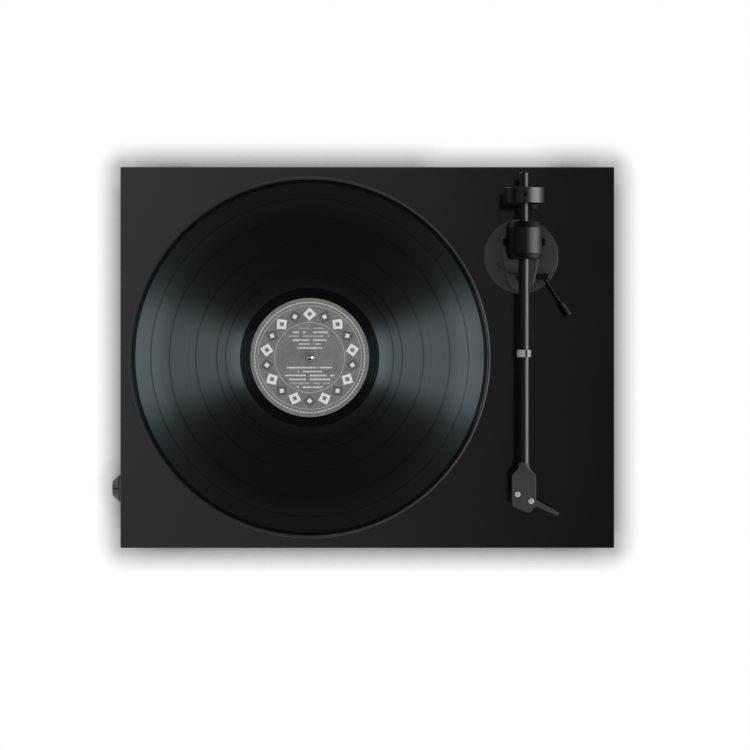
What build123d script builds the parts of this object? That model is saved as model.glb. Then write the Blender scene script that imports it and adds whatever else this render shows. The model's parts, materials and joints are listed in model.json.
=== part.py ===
from build123d import *
from math import cos, pi, radians, sin
import os

os.makedirs("parts", exist_ok=True)

# Belt-drive record player: a lacquered slab plinth on four feet, a platter on its own bearing and
# inner drive disc, a small motor below the deck, and a straight pivoted tonearm with its lift.
# Lengths are in millimetres and angles in degrees. +X is to the right, +Y to the back, +Z up.
# The origin is the middle of the player's whole footprint, on the surface that it stands on.

# ---------------------------------------------------------------- driving dimensions
# Plinth and feet
plinth_width = 420.0
plinth_depth = 324.0
plinth_thickness = 32.0
plinth_edge_break = 0.7
deck_thickness = 9.0
foot_height = 14.0
foot_radius = 20.0
foot_taper = 2.0
foot_spread_x = 166.0
foot_spread_y = 122.0
foot_pad_radius = 16.0
foot_pad_proud = 2.5
foot_pad_seat = 3.0
foot_pad_hole = 6.5
foot_screw_radius = 2.4
foot_screw_length = 26.0
foot_screw_head = 4.6
foot_screw_head_height = 3.0
base_plate_margin = 8.0
base_plate_thickness = 2.0
base_screw_radius = 1.5
base_screw_length = 12.0
base_screw_head = 3.0
base_screw_inset = 6.0
base_screw_pitch = 100.0
side_screw_pitch = 80.0

# Clearances
running_fit = 0.04
slide_fit = 0.05
screw_fit = 0.05
drop_in_fit = 0.1
resting_gap = 0.3

# Main bearing, spindle and inner drive disc
platter_offset_x = -48.5
spindle_radius = 3.55
spindle_above_record = 10.0
spindle_seat_proud = 1.0
spindle_relief = 0.2
spindle_nose_round = 2.8
axle_radius = 5.0
axle_end_round = 3.0
bearing_tube_radius = 10.0
bearing_flange_radius = 23.0
bearing_flange_thickness = 3.0
bearing_bore_radius = 7.0
bearing_floor = 2.0
bearing_screw_circle_radius = 17.0
thrust_pad_thickness = 2.0
drive_disc_radius = 70.0
drive_disc_height = 10.0
drive_disc_clearance = 1.0
drive_disc_crown = 0.3
drive_disc_rim = 8.0
drive_disc_web = 3.0
drive_disc_hub = 12.0
drive_disc_hub_rise = 3.5
drive_disc_hub_seat = 1.0
drive_disc_holes = 6

# Platter, mat and record
platter_radius = 152.3
platter_deck_gap = 4.0
platter_height = 16.0
platter_web = 3.5
platter_rim_width = 12.0
platter_rib_count = 12
platter_rib_width = 2.4
platter_rib_depth = 1.4
platter_edge_round = 1.0
platter_seat_width = 2.0
mat_radius = 148.0
mat_thickness = 2.5
mat_label_recess = 0.6
mat_label_clearance = 2.0
record_radius = 150.0
record_thickness = 1.8
record_bead_width = 3.0
record_rim_round = 0.72
record_bevel = 1.0
record_label_margin = 1.0
record_groove_drop = 0.2
record_hole_clearance = 0.07
label_radius = 50.0
label_thickness = 0.1

# Motor, pulley and belt
motor_centre_distance = 110.0
motor_bearing_angle = 135.0
motor_radius = 21.0
motor_length = 15.0
motor_can_round = 1.5
motor_boss_radius = 4.0
motor_boss_height = 2.0
motor_shaft_radius = 1.0
motor_plate_radius = 28.0
motor_plate_thickness = 2.0
motor_ear_wall = 2.0
motor_ear_circle_radius = 24.5
motor_grommet_height = 2.2
motor_grommet_radius = 4.0
motor_screw_radius = 1.25
motor_screw_head = 2.6
pulley_radius = 7.0
pulley_flange = 1.8
pulley_flange_thickness = 1.2
pulley_crown = 0.2
pulley_side_gap = 0.5
pulley_hole_clearance = 2.0
belt_width = 5.0
belt_thickness = 0.7
belt_clearance = 0.15

# Pockets routed in the underside of the plinth
bay_width = 110.0
bay_depth = 133.0
bay_offset_x = -140.0
bay_offset_y = -6.5
motor_pocket_radius = 33.0
channel_width = 12.0
channel_inset = 22.0
arm_pocket_radius = 20.0

# Connectors in the recess at the back
recess_width = 90.0
recess_offset_x = 105.0
recess_depth = 15.5
recess_height = 26.0
panel_thickness = 1.5
chamber_depth = 20.0
jack_radius = 4.15
jack_length = 8.5
jack_nut_radius = 5.6
jack_nut_thickness = 1.6
jack_bore_radius = 1.6
jack_wall = 0.7
jack_thread_depth = 0.9
jack_pitch = 18.0
jack_offset_x = -21.6
insulator_recess = 0.4
connector_height = 15.0
panel_screw_radius = 1.25
panel_screw_head = 2.3
panel_screw_length = 9.0
ground_stud_radius = 2.0
ground_nut_radius = 4.8
ground_nut_thickness = 4.0
ground_offset_x = 7.2
ground_knurls = 16
ground_knurl_radius = 0.45
inlet_bore_radius = 2.75
inlet_pin_radius = 1.0
inlet_wall = 1.5
inlet_proud = 1.0
inlet_block = 11.0
inlet_block_depth = 11.5
inlet_offset_x = 27.0

# Speed selector in the left side
side_knob_proud = 7.8
knob_radius = 11.4
knob_face_radius = 6.6
knob_gap = 0.6
knob_skirt = 2.0
knob_dish = 0.6
knob_cap = 1.2
knob_pointer_width = 1.4
knob_nut_gap = 0.4
knob_nut_clearance = 0.8
selector_y = -111.9
selector_shaft_radius = 3.0
selector_bush_radius = 4.5
selector_wall = 4.0
selector_body = 22.0
selector_body_depth = 12.0
selector_body_round = 1.5
selector_body_gap = 1.0
selector_shaft_gap = 1.0
selector_nut_radius = 7.0
selector_nut_thickness = 2.0

# Control board
board_width = 84.0
board_depth = 56.0
board_thickness = 1.6
board_offset_y = -30.0
standoff_height = 8.0
standoff_radius = 3.0
board_corner = 2.0
component_gap = 1.5
capacitor_radius = 4.5
capacitor_pitch = 12.0
capacitor_count = 3
cooler_offset_x = 25.0
cooler_offset_y = -14.0
cooler_width = 22.0
cooler_height = 8.9
cooler_fin = 1.4
cooler_fin_pitch = 3.2
cooler_fin_count = 5
cooler_spine = 2.0
low_part_height = 4.0
chip_length = 16.0
chip_width = 8.0
header_length = 18.0
header_width = 7.0
low_part_offset_x = 25.0
low_part_offset_y = 16.0

# Tonearm: pivot, tube and balance
arm_offset_x = 130.5
pivot_y = 96.5
arm_height = 45.0
arm_tube_radius = 4.4
arm_tube_wall = 0.7
arm_tube_socket = 8.0
barrel_radius = 15.15
barrel_length = 31.0
barrel_shift = 0.9
barrel_cone_length = 5.0
barrel_cone_drop = 1.9
stub_radius = 3.7
stub_reach = 57.7
stub_chamfer = 0.5
weight_radius = 17.0
weight_length = 13.0
weight_reach = 38.1
weight_chamfer = 0.8
weight_screw_radius = 1.5
weight_screw_sink = 4.0
weight_screw_key = 0.8
weight_screw_key_depth = 2.5
collar_radius = 5.8
collar_width = 6.1
collar_reach = 93.1
collar_slit = 1.8
collar_slit_offset = 1.5
collar_slit_floor = 1.5
collar_chamfer = 0.4
rest_foot_height = 2.0
rest_post_radius = 2.8
rest_saddle_depth = 4.0
rest_saddle_width = 10.4
rest_saddle_shift = 0.4
rest_saddle_length = 4.5

# Tonearm base and bearings
base_disc_radius = 31.7
base_disc_thickness = 4.0
base_disc_shift_y = -10.7
base_disc_spigot = 14.0
base_disc_chamfer = 0.6
ring_nut_height = 4.0
ring_nut_gap = 1.5
ring_nut_slots = 4
ring_nut_slot_width = 3.0
ring_nut_slot_depth = 2.0
base_body_height = 9.0
base_body_radius = 17.8
base_body_tip_radius = 12.2
base_body_tip_reach = 28.6
base_body_shift_x = -0.5
base_body_tip_shift_x = -0.8
base_body_chamfer = 1.2
pillar_radius = 8.0
pillar_drop = 10.0
swivel_bearing_radius = 6.5
swivel_bearing_width = 5.0
swivel_bearing_shoulder = 1.5
swivel_shaft_radius = 3.0
yoke_gap = 0.5
yoke_wall = 1.9
yoke_width = 7.0
yoke_foot_radius = 11.0
pivot_screw_radius = 1.0
pivot_screw_depth = 2.5
pivot_screw_tip_gap = 0.2
pivot_screw_head = 2.0
pivot_screw_proud = 0.6
yoke_post_flat = 0.2

# Headshell and cartridge
shell_thickness = 3.0
shell_width = 20.2
shell_neck_behind = 29.3
shell_shoulder_behind = 18.3
shell_left_corner_ahead = 7.0
shell_tip_ahead = 12.3
shell_tip_x = 3.5
shell_drop = 2.5
shell_corner_round = 1.2
shell_edge_round = 1.35
shell_left_taper = 0.8
neck_mid_share = 0.4
neck_mid_width = 10.56
neck_mid_height = 6.6
neck_mid_round = 3.08
neck_start_round = 4.22
neck_overlap = 0.3
cartridge_angle = 26.6
cartridge_reach = 213.3
cartridge_shift_x = 0.2
cartridge_screw_pitch = 12.7
cartridge_screw_head = 2.35
cartridge_screw_head_height = 1.5
cartridge_screw_chamfer = 0.35
cartridge_screw_key = 1.05
cartridge_screw_key_depth = 1.1
cartridge_screw_grip = 3.0
cartridge_screw_radius = 1.25
cartridge_width = 14.0
cartridge_length = 17.0
cartridge_body_height = 10.5
cartridge_ear_width = 17.2
cartridge_ear_length = 5.6
cartridge_ear_thickness = 2.6
cartridge_ear_floor = 0.8
cartridge_corner = 1.4
cartridge_ear_corner = 1.2
cartridge_taper = 3.0
stylus_ahead = 9.5
stylus_clearance = 0.3
stylus_drop = 2.3
stylus_holder_width = 9.24
stylus_holder_setback = 0.6
stylus_holder_back = 5.1
stylus_holder_foot_back = 2.04
stylus_nose_share = 0.45
stylus_nose_length = 3.2
cantilever_root = 3.4
cantilever_thickness = 0.6
cantilever_tip_rise = 1.3
cantilever_overhang = 0.4
diamond_height = 0.8
diamond_half_width = 0.15
finger_lift_length = 21.2
finger_lift_angle = -26.8
finger_lift_ahead = 4.5
finger_lift_root = 4.9
finger_lift_tip = 2.7
finger_lift_thickness = 1.6
pin_radius = 0.5
pin_length = 4.5
pin_spacing = 3.4
pin_seat = 1.5
lead_radius = 0.4
lead_entry_behind = 22.3
lead_straight = 3.0
lead_bend = 2.0
lead_entry_pitch = 0.8
lead_entry_drop = 2.4
lead_entry_step = 0.2

# Arm lift
bridge_radius = 28.0
bridge_width = 2.4
bridge_thickness = 2.2
bridge_sweep = 52.0
bridge_overlap = 7.0
lift_body_radius = 4.8
lift_body_height = 20.0
piston_radius = 2.5
lever_shaft_radius = 1.8
lever_cam_flat = 0.45
lever_cam_gap = 0.4
lever_shaft_rise = 4.7
lever_hub_radius = 2.5
lever_hub_start = 13.6
lever_hub_length = 9.5
lever_rod_radius = 1.3
lever_rod_length = 26.5
lever_rod_start = 18.2
lever_splay = 34.0
lever_knob_radius = 3.1
lever_knob_length = 12.5
lever_knob_round = 0.8
lever_shaft_tail = 1.3
lever_end_gap = 0.3
lever_hub_chamfer = 0.4
lift_edge_break = 0.5

# ---------------------------------------------------------------- derived places
plinth_x = side_knob_proud / 2
plinth_left = plinth_x - plinth_width / 2
plinth_back = plinth_depth / 2
deck_z = foot_height + plinth_thickness
deck_under_z = deck_z - deck_thickness
plate_top_z = foot_height + base_plate_thickness
platter_x = plinth_x + platter_offset_x
platter_bottom_z = deck_z + platter_deck_gap
platter_top_z = platter_bottom_z + platter_height
mat_top_z = platter_top_z + mat_thickness
record_top_z = mat_top_z + record_thickness
spindle_top_z = record_top_z + spindle_above_record
disc_bottom_z = deck_z + bearing_flange_thickness + drive_disc_clearance
disc_top_z = disc_bottom_z + drive_disc_height
belt_z = disc_bottom_z + drive_disc_height / 2
motor_x = platter_x + motor_centre_distance * cos(radians(motor_bearing_angle))
motor_y = motor_centre_distance * sin(radians(motor_bearing_angle))
pivot_x = plinth_x + arm_offset_x
arm_z = deck_z + arm_height
base_disc_y = pivot_y + base_disc_shift_y
base_disc_top_z = deck_z + base_disc_thickness
base_body_top_z = base_disc_top_z + base_body_height
bridge_top_z = arm_z - arm_tube_radius - resting_gap
shell_bottom_z = arm_z - shell_drop
knob_z = foot_height + plinth_thickness / 2
recess_x = plinth_x + recess_offset_x
recess_front = plinth_back - recess_depth
panel_back = recess_front + panel_thickness
connector_z = foot_height + connector_height
jack_places = [recess_x + jack_offset_x + side * jack_pitch / 2 for side in (-1, 1)]
ground_x = recess_x + ground_offset_x
inlet_x = recess_x + inlet_offset_x
panel_screw_places = [recess_x + side * (recess_width / 2 - channel_width / 4) for side in (-1, 1)]
barrel_y = pivot_y + barrel_shift
barrel_front_y = barrel_y - barrel_length / 2
barrel_rear_y = barrel_y + barrel_length / 2
neck_y = pivot_y - cartridge_reach + shell_neck_behind
weight_y = pivot_y + weight_reach
collar_y = pivot_y - collar_reach
lift_y = pivot_y - bridge_radius
lever_z = base_disc_top_z + lever_shaft_rise
shaft_left_x = pivot_x - piston_radius - lever_shaft_tail
cartridge_x = pivot_x + cartridge_shift_x
cartridge_y = pivot_y - cartridge_reach


def upright(x, y):
    """Drawing plane standing at (x, y): its x runs along +X and its y along +Z."""
    return Plane(origin=(x, y, 0), x_dir=(1, 0, 0), z_dir=(0, -1, 0))


def upright_axis(x, y):
    """Vertical line through (x, y)."""
    return Axis((x, y, 0), (0, 0, 1))


def facing_back(x, y, z):
    """Plane with its normal along +Y and its y along +Z, for connectors."""
    return Plane(origin=(x, y, z), x_dir=(-1, 0, 0), z_dir=(0, 1, 0))


def across(x, y, z):
    """Plane with its normal along +X, for shafts that run from side to side."""
    return Plane(origin=(x, y, z), x_dir=(0, 1, 0), z_dir=(1, 0, 0))


foot_places = [(plinth_x + sx * foot_spread_x, sy * foot_spread_y) for sx in (-1, 1) for sy in (-1, 1)]
plate_width = plinth_width - 2 * base_plate_margin
plate_depth = plinth_depth - 2 * base_plate_margin
side_screw_x = plate_width / 2 - base_screw_inset
front_screw_y = -(plate_depth / 2 - base_screw_inset)
base_screw_places = (
    [(plinth_x + side * side_screw_x, row * side_screw_pitch) for side in (-1, 1) for row in (-1, 0, 1)]
    + [(plinth_x + column * base_screw_pitch, front_screw_y) for column in (-1, 0, 1)]
    + [(plinth_x + column * base_screw_pitch, -front_screw_y) for column in (-1, 0)]
)
flange_screw_z = deck_z + bearing_flange_thickness
flange_screw_places = [
    (
        platter_x + bearing_screw_circle_radius * cos(2 * pi * step / 3),
        bearing_screw_circle_radius * sin(2 * pi * step / 3),
    )
    for step in range(3)
]
board_x = plinth_x + bay_offset_x
standoff_x = board_width / 2 - standoff_radius
standoff_y = board_depth / 2 - standoff_radius
standoff_places = [
    (board_x + sx * standoff_x, board_offset_y + sy * standoff_y) for sx in (-1, 1) for sy in (-1, 1)
]
switch_pocket = selector_body + 2 * selector_body_gap
channel_y = plinth_back - channel_inset - channel_width / 2

screw_hole_radius = base_screw_radius + screw_fit

# ---------------------------------------------------------------- plinth
with BuildPart() as plinth:
    with BuildSketch(Plane.XY.offset(foot_height)):
        with Locations((plinth_x, 0)):
            Rectangle(plinth_width, plinth_depth)
    extrude(amount=plinth_thickness)
    chamfer(plinth.edges(), plinth_edge_break)
    # rebate that the base plate drops into
    with BuildSketch(Plane.XY.offset(foot_height)):
        with Locations((plinth_x, 0)):
            Rectangle(plate_width + 2 * drop_in_fit, plate_depth + 2 * drop_in_fit)
    extrude(amount=base_plate_thickness, mode=Mode.SUBTRACT)
    # bay for the motor and the board, with wiring channels to the switch, the arm and the back
    with BuildSketch(Plane.XY.offset(plate_top_z)):
        with Locations((board_x, bay_offset_y)):
            RectangleRounded(bay_width, bay_depth, channel_width / 2)
        with Locations((motor_x, motor_y)):
            Circle(motor_pocket_radius)
        with Locations((motor_x + motor_pocket_radius / 2, (motor_y + channel_y + channel_width / 2) / 2)):
            Rectangle(channel_width, channel_y + channel_width / 2 - motor_y)
        with Locations(((motor_x + motor_pocket_radius / 2 + recess_x) / 2, channel_y)):
            Rectangle(recess_x - motor_x - motor_pocket_radius / 2 + channel_width, channel_width)
        with Locations((recess_x, recess_front - chamber_depth / 2)):
            Rectangle(recess_width - 2 * channel_width / 2, chamber_depth)
        with Locations((pivot_x, pivot_y)):
            Circle(arm_pocket_radius)
        with Locations((pivot_x, (pivot_y + recess_front) / 2)):
            Rectangle(channel_width, recess_front - pivot_y)
        with Locations((plinth_left + selector_wall + selector_body_depth, (selector_y + bay_offset_y) / 2)):
            Rectangle(channel_width, bay_offset_y - selector_y)
    extrude(amount=deck_under_z - plate_top_z, mode=Mode.SUBTRACT)
    # pocket behind the left wall for the rotary switch, and the hole for its bushing
    with BuildSketch(across(plinth_left + selector_wall, selector_y, knob_z)):
        Rectangle(switch_pocket, switch_pocket)
    extrude(amount=selector_body_depth + channel_width, mode=Mode.SUBTRACT)
    with BuildSketch(across(plinth_left, selector_y, knob_z)):
        Circle(selector_bush_radius + screw_fit)
    extrude(amount=selector_wall, mode=Mode.SUBTRACT)
    # connector recess, open to the back and below
    with BuildSketch(Plane.XY.offset(foot_height)):
        with Locations((recess_x, plinth_back - recess_depth / 2)):
            Rectangle(recess_width, recess_depth)
    extrude(amount=recess_height, mode=Mode.SUBTRACT)
    # bores for the main bearing, the motor pulley and the arm base
    with BuildSketch(Plane.XY.offset(deck_z)):
        with Locations((platter_x, 0)):
            Circle(bearing_tube_radius + screw_fit)
    extrude(amount=plate_top_z - deck_z, mode=Mode.SUBTRACT)
    with BuildSketch(Plane.XY.offset(deck_z)):
        with Locations((motor_x, motor_y)):
            Circle(pulley_radius + pulley_flange + pulley_hole_clearance)
        with Locations((pivot_x, pivot_y)):
            Circle(base_disc_spigot + drop_in_fit)
    extrude(amount=-deck_thickness, mode=Mode.SUBTRACT)
    # pilot holes for the fasteners
    with BuildSketch(Plane.XY.offset(foot_height)):
        with Locations(*foot_places):
            Circle(foot_screw_radius + screw_fit)
    extrude(amount=foot_screw_length - foot_pad_proud - foot_pad_seat, mode=Mode.SUBTRACT)
    with BuildSketch(Plane.XY.offset(foot_height)):
        with Locations(*base_screw_places):
            Circle(base_screw_radius + screw_fit)
    extrude(amount=base_screw_length, mode=Mode.SUBTRACT)
    with BuildSketch(Plane.XY.offset(deck_z)):
        with Locations(*flange_screw_places):
            Circle(base_screw_radius + screw_fit)
    extrude(amount=-base_screw_length, mode=Mode.SUBTRACT)
    for x in panel_screw_places:
        with BuildSketch(upright(x, recess_front)):
            with Locations((0, connector_z)):
                Circle(panel_screw_radius + screw_fit)
        extrude(amount=panel_screw_length, mode=Mode.SUBTRACT)
plinth.part.label = "plinth"
export_step(plinth.part, "parts/plinth.step")

# ---------------------------------------------------------------- base plate and its screws
with BuildPart() as base_plate:
    with BuildSketch(Plane.XY.offset(foot_height)):
        with Locations((plinth_x, 0)):
            Rectangle(plate_width, plate_depth)
        with Locations((recess_x, plinth_back - recess_depth / 2)):
            Rectangle(recess_width + 2 * drop_in_fit, recess_depth, mode=Mode.SUBTRACT)
        with Locations(*foot_places):
            Circle(foot_screw_radius + screw_fit, mode=Mode.SUBTRACT)
    extrude(amount=base_plate_thickness)
    with Locations(*[Location((x, y, foot_height), (180, 0, 0)) for x, y in base_screw_places]):
        CounterSinkHole(screw_hole_radius, base_screw_head + screw_fit, depth=base_plate_thickness)
base_plate.part.label = "base_plate"
export_step(base_plate.part, "parts/base_plate.step")

with BuildPart() as countersunk_screws:
    # screws driven up through the base plate, and three driven down through the bearing flange
    driven = [(x, y, foot_height, 1) for x, y in base_screw_places]
    driven += [(x, y, flange_screw_z, -1) for x, y in flange_screw_places]
    for x, y, head_z, way in driven:
        with BuildSketch(upright(x, y)):
            with BuildLine():
                Polyline(
                    (0, head_z),
                    (base_screw_head, head_z),
                    (base_screw_radius, head_z + way * (base_screw_head - base_screw_radius)),
                    (base_screw_radius, head_z + way * (base_screw_length - base_screw_radius)),
                    (0, head_z + way * base_screw_length),
                    close=True,
                )
            make_face()
        revolve(axis=upright_axis(x, y))
countersunk_screws.part.label = "countersunk_screws"
export_step(countersunk_screws.part, "parts/countersunk_screws.step")

# ---------------------------------------------------------------- feet
pad_seat_z = foot_pad_proud + foot_pad_seat
screw_seat_z = pad_seat_z + foot_screw_head_height
with BuildPart() as feet:
    for x, y in foot_places:
        with BuildSketch(upright(x, y)):
            with BuildLine():
                Polyline(
                    (foot_screw_radius + screw_fit, foot_height),
                    (foot_radius - foot_taper, foot_height),
                    (foot_radius, foot_height - foot_taper),
                    (foot_radius, foot_height - 2 * foot_taper),
                    (foot_radius - foot_taper, foot_pad_proud),
                    (foot_pad_radius, foot_pad_proud),
                    (foot_pad_radius, pad_seat_z),
                    (foot_screw_head + screw_fit, pad_seat_z),
                    (foot_screw_head + screw_fit, screw_seat_z),
                    (foot_screw_radius + screw_fit, screw_seat_z),
                    close=True,
                )
            make_face()
        revolve(axis=upright_axis(x, y))
feet.part.label = "feet"
export_step(feet.part, "parts/feet.step")

with BuildPart() as foot_pads:
    for x, y in foot_places:
        with BuildSketch(upright(x, y)):
            with BuildLine():
                Polyline(
                    (foot_pad_hole, 0),
                    (foot_pad_radius - foot_pad_proud / 2, 0),
                    (foot_pad_radius, foot_pad_proud / 2),
                    (foot_pad_radius, pad_seat_z),
                    (foot_pad_hole, pad_seat_z),
                    close=True,
                )
            make_face()
        revolve(axis=upright_axis(x, y))
foot_pads.part.label = "foot_pads"
export_step(foot_pads.part, "parts/foot_pads.step")

with BuildPart() as foot_screws:
    for x, y in foot_places:
        with BuildSketch(upright(x, y)):
            with BuildLine():
                Polyline(
                    (0, pad_seat_z),
                    (foot_screw_head, pad_seat_z),
                    (foot_screw_head, screw_seat_z),
                    (foot_screw_radius, screw_seat_z),
                    (foot_screw_radius, pad_seat_z + foot_screw_length),
                    (0, pad_seat_z + foot_screw_length),
                    close=True,
                )
            make_face()
        revolve(axis=upright_axis(x, y))
foot_screws.part.label = "foot_screws"
export_step(foot_screws.part, "parts/foot_screws.step")

# ---------------------------------------------------------------- main bearing
housing_bottom_z = plate_top_z + drive_disc_clearance
housing_floor_z = housing_bottom_z + bearing_floor
housing_top_z = deck_z + bearing_flange_thickness
with BuildPart() as bearing_housing:
    with BuildSketch(upright(platter_x, 0)):
        with BuildLine():
            Polyline(
                (0, housing_bottom_z),
                (bearing_tube_radius, housing_bottom_z),
                (bearing_tube_radius, deck_z),
                (bearing_flange_radius, deck_z),
                (bearing_flange_radius, housing_top_z),
                (bearing_bore_radius, housing_top_z),
                (bearing_bore_radius, housing_floor_z),
                (0, housing_floor_z),
                close=True,
            )
        make_face()
    revolve(axis=upright_axis(platter_x, 0))
    with Locations(*[(x, y, housing_top_z) for x, y in flange_screw_places]):
        CounterSinkHole(screw_hole_radius, base_screw_head + screw_fit, depth=bearing_flange_thickness)
bearing_housing.part.label = "bearing_housing"
export_step(bearing_housing.part, "parts/bearing_housing.step")

with BuildPart() as bearing_bush:
    with BuildSketch(Plane.XY.offset(housing_floor_z + thrust_pad_thickness)):
        with Locations((platter_x, 0)):
            Circle(bearing_bore_radius)
            Circle(axle_radius + running_fit, mode=Mode.SUBTRACT)
    extrude(amount=housing_top_z - housing_floor_z - thrust_pad_thickness)
    chamfer(bearing_bush.edges().group_by(Axis.Z)[-1], 0.5)
bearing_bush.part.label = "bearing_bush"
export_step(bearing_bush.part, "parts/bearing_bush.step")

with BuildPart() as thrust_pad:
    with BuildSketch(Plane.XY.offset(housing_floor_z)):
        with Locations((platter_x, 0)):
            Circle(bearing_bore_radius - screw_fit)
    extrude(amount=thrust_pad_thickness)
thrust_pad.part.label = "thrust_pad"
export_step(thrust_pad.part, "parts/thrust_pad.step")

# ---------------------------------------------------------------- spindle and inner drive disc
hub_top_z = disc_top_z + drive_disc_hub_rise
# the free end is a little slimmer than the length that centres the record
free_end_z = record_top_z + spindle_seat_proud
free_end_radius = spindle_radius - spindle_relief
with BuildPart() as main_spindle:
    with BuildSketch(upright(platter_x, 0)):
        with BuildLine():
            Polyline(
                (0, housing_floor_z + thrust_pad_thickness + drop_in_fit),
                (axle_radius, housing_floor_z + thrust_pad_thickness + drop_in_fit),
                (axle_radius, hub_top_z - drive_disc_hub_seat),
                (spindle_radius, hub_top_z - drive_disc_hub_seat),
                (spindle_radius, free_end_z),
                (free_end_radius, free_end_z),
                (free_end_radius, spindle_top_z),
                (0, spindle_top_z),
                close=True,
            )
        make_face()
    revolve(axis=upright_axis(platter_x, 0))
    fillet(main_spindle.edges().group_by(Axis.Z)[-1], spindle_nose_round)
    fillet(main_spindle.edges().group_by(Axis.Z)[0], axle_end_round)
main_spindle.part.label = "main_spindle"
export_step(main_spindle.part, "parts/main_spindle.step")

web_z = disc_bottom_z + (drive_disc_height - drive_disc_web) / 2
rim_inner = drive_disc_radius - drive_disc_rim
with BuildPart() as drive_disc:
    with BuildSketch(upright(platter_x, 0)):
        with BuildLine():
            Polyline(
                (drive_disc_radius - drive_disc_crown, disc_bottom_z),
                (rim_inner, disc_bottom_z),
                (rim_inner, web_z),
                (drive_disc_hub, web_z),
                (drive_disc_hub, disc_bottom_z),
                (axle_radius, disc_bottom_z),
                (axle_radius, hub_top_z - drive_disc_hub_seat),
                (spindle_radius, hub_top_z - drive_disc_hub_seat),
                (spindle_radius, hub_top_z),
                (drive_disc_hub, hub_top_z),
                (drive_disc_hub, web_z + drive_disc_web),
                (rim_inner, web_z + drive_disc_web),
                (rim_inner, disc_top_z),
                (drive_disc_radius - drive_disc_crown, disc_top_z),
            )
            ThreePointArc(
                (drive_disc_radius - drive_disc_crown, disc_top_z),
                (drive_disc_radius, belt_z),
                (drive_disc_radius - drive_disc_crown, disc_bottom_z),
            )
        make_face()
    revolve(axis=upright_axis(platter_x, 0))
    lightening_circle = (drive_disc_hub + rim_inner) / 2
    with BuildSketch(Plane.XY.offset(web_z)):
        with Locations((platter_x, 0)):
            with PolarLocations(lightening_circle, drive_disc_holes):
                Circle((rim_inner - drive_disc_hub) / 4)
    extrude(amount=drive_disc_web, mode=Mode.SUBTRACT)
drive_disc.part.label = "drive_disc"
export_step(drive_disc.part, "parts/drive_disc.step")

# ---------------------------------------------------------------- platter and mat
web_under_z = platter_top_z - platter_web
platter_rim_inner = platter_radius - platter_rim_width
seat_inner = drive_disc_radius - drive_disc_rim - platter_seat_width
seat_outer = drive_disc_radius + platter_seat_width
with BuildPart() as platter:
    with BuildSketch(upright(platter_x, 0)):
        with BuildLine():
            Polyline(
                (drive_disc_hub + slide_fit, platter_top_z),
                (platter_radius, platter_top_z),
                (platter_radius, platter_bottom_z),
                (platter_rim_inner, platter_bottom_z),
                (platter_rim_inner, web_under_z),
                (seat_outer, web_under_z),
                (seat_outer, disc_top_z),
                (seat_inner, disc_top_z),
                (seat_inner, web_under_z),
                (drive_disc_hub + slide_fit, web_under_z),
                close=True,
            )
        make_face()
    revolve(axis=upright_axis(platter_x, 0))
    fillet(platter.edges().filter_by(GeomType.CIRCLE).group_by(SortBy.RADIUS)[-1], platter_edge_round)
    # stiffening ribs cast under the web
    with BuildSketch(Plane.XY.offset(web_under_z)):
        with Locations((platter_x, 0)):
            with PolarLocations((seat_outer + platter_rim_inner) / 2, platter_rib_count):
                Rectangle(platter_rim_inner - seat_outer + 1.0, platter_rib_width)
    extrude(amount=-platter_rib_depth)
platter.part.label = "platter"
export_step(platter.part, "parts/platter.step")

mat_label_radius = label_radius + mat_label_clearance
with BuildPart() as platter_mat:
    with BuildSketch(upright(platter_x, 0)):
        with BuildLine():
            Polyline(
                (spindle_radius + drop_in_fit, platter_top_z),
                (mat_radius, platter_top_z),
                (mat_radius, mat_top_z),
                (mat_label_radius, mat_top_z),
                (mat_label_radius, mat_top_z - mat_label_recess),
                (spindle_radius + drop_in_fit, mat_top_z - mat_label_recess),
                close=True,
            )
        make_face()
    revolve(axis=upright_axis(platter_x, 0))
platter_mat.part.label = "platter_mat"
export_step(platter_mat.part, "parts/platter_mat.step")

# ---------------------------------------------------------------- record
groove_edge = record_radius - record_bead_width
label_edge = label_radius + record_label_margin
record_hole = spindle_radius + record_hole_clearance
with BuildPart() as vinyl_record:
    with BuildSketch(upright(platter_x, 0)):
        with BuildLine():
            Polyline(
                (record_hole, mat_top_z + label_thickness),
                (label_radius, mat_top_z + label_thickness),
                (label_radius, mat_top_z),
                (record_radius, mat_top_z),
                (record_radius, record_top_z),
                (groove_edge, record_top_z),
                (groove_edge - record_bevel, record_top_z - record_groove_drop),
                (label_edge + record_bevel, record_top_z - record_groove_drop),
                (label_edge, record_top_z),
                (label_radius, record_top_z),
                (label_radius, record_top_z - label_thickness),
                (record_hole, record_top_z - label_thickness),
                close=True,
            )
        make_face()
    revolve(axis=upright_axis(platter_x, 0))
    rim_edges = vinyl_record.edges().filter_by(GeomType.CIRCLE).group_by(SortBy.RADIUS)[-1]
    fillet(rim_edges, record_rim_round)
vinyl_record.part.label = "vinyl_record"
export_step(vinyl_record.part, "parts/vinyl_record.step")

with BuildPart() as record_labels:
    for label_z in (mat_top_z, record_top_z - label_thickness):
        with BuildSketch(Plane.XY.offset(label_z)):
            with Locations((platter_x, 0)):
                Circle(label_radius)
                Circle(record_hole, mode=Mode.SUBTRACT)
        extrude(amount=label_thickness)
record_labels.part.label = "record_labels"
export_step(record_labels.part, "parts/record_labels.step")

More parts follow.
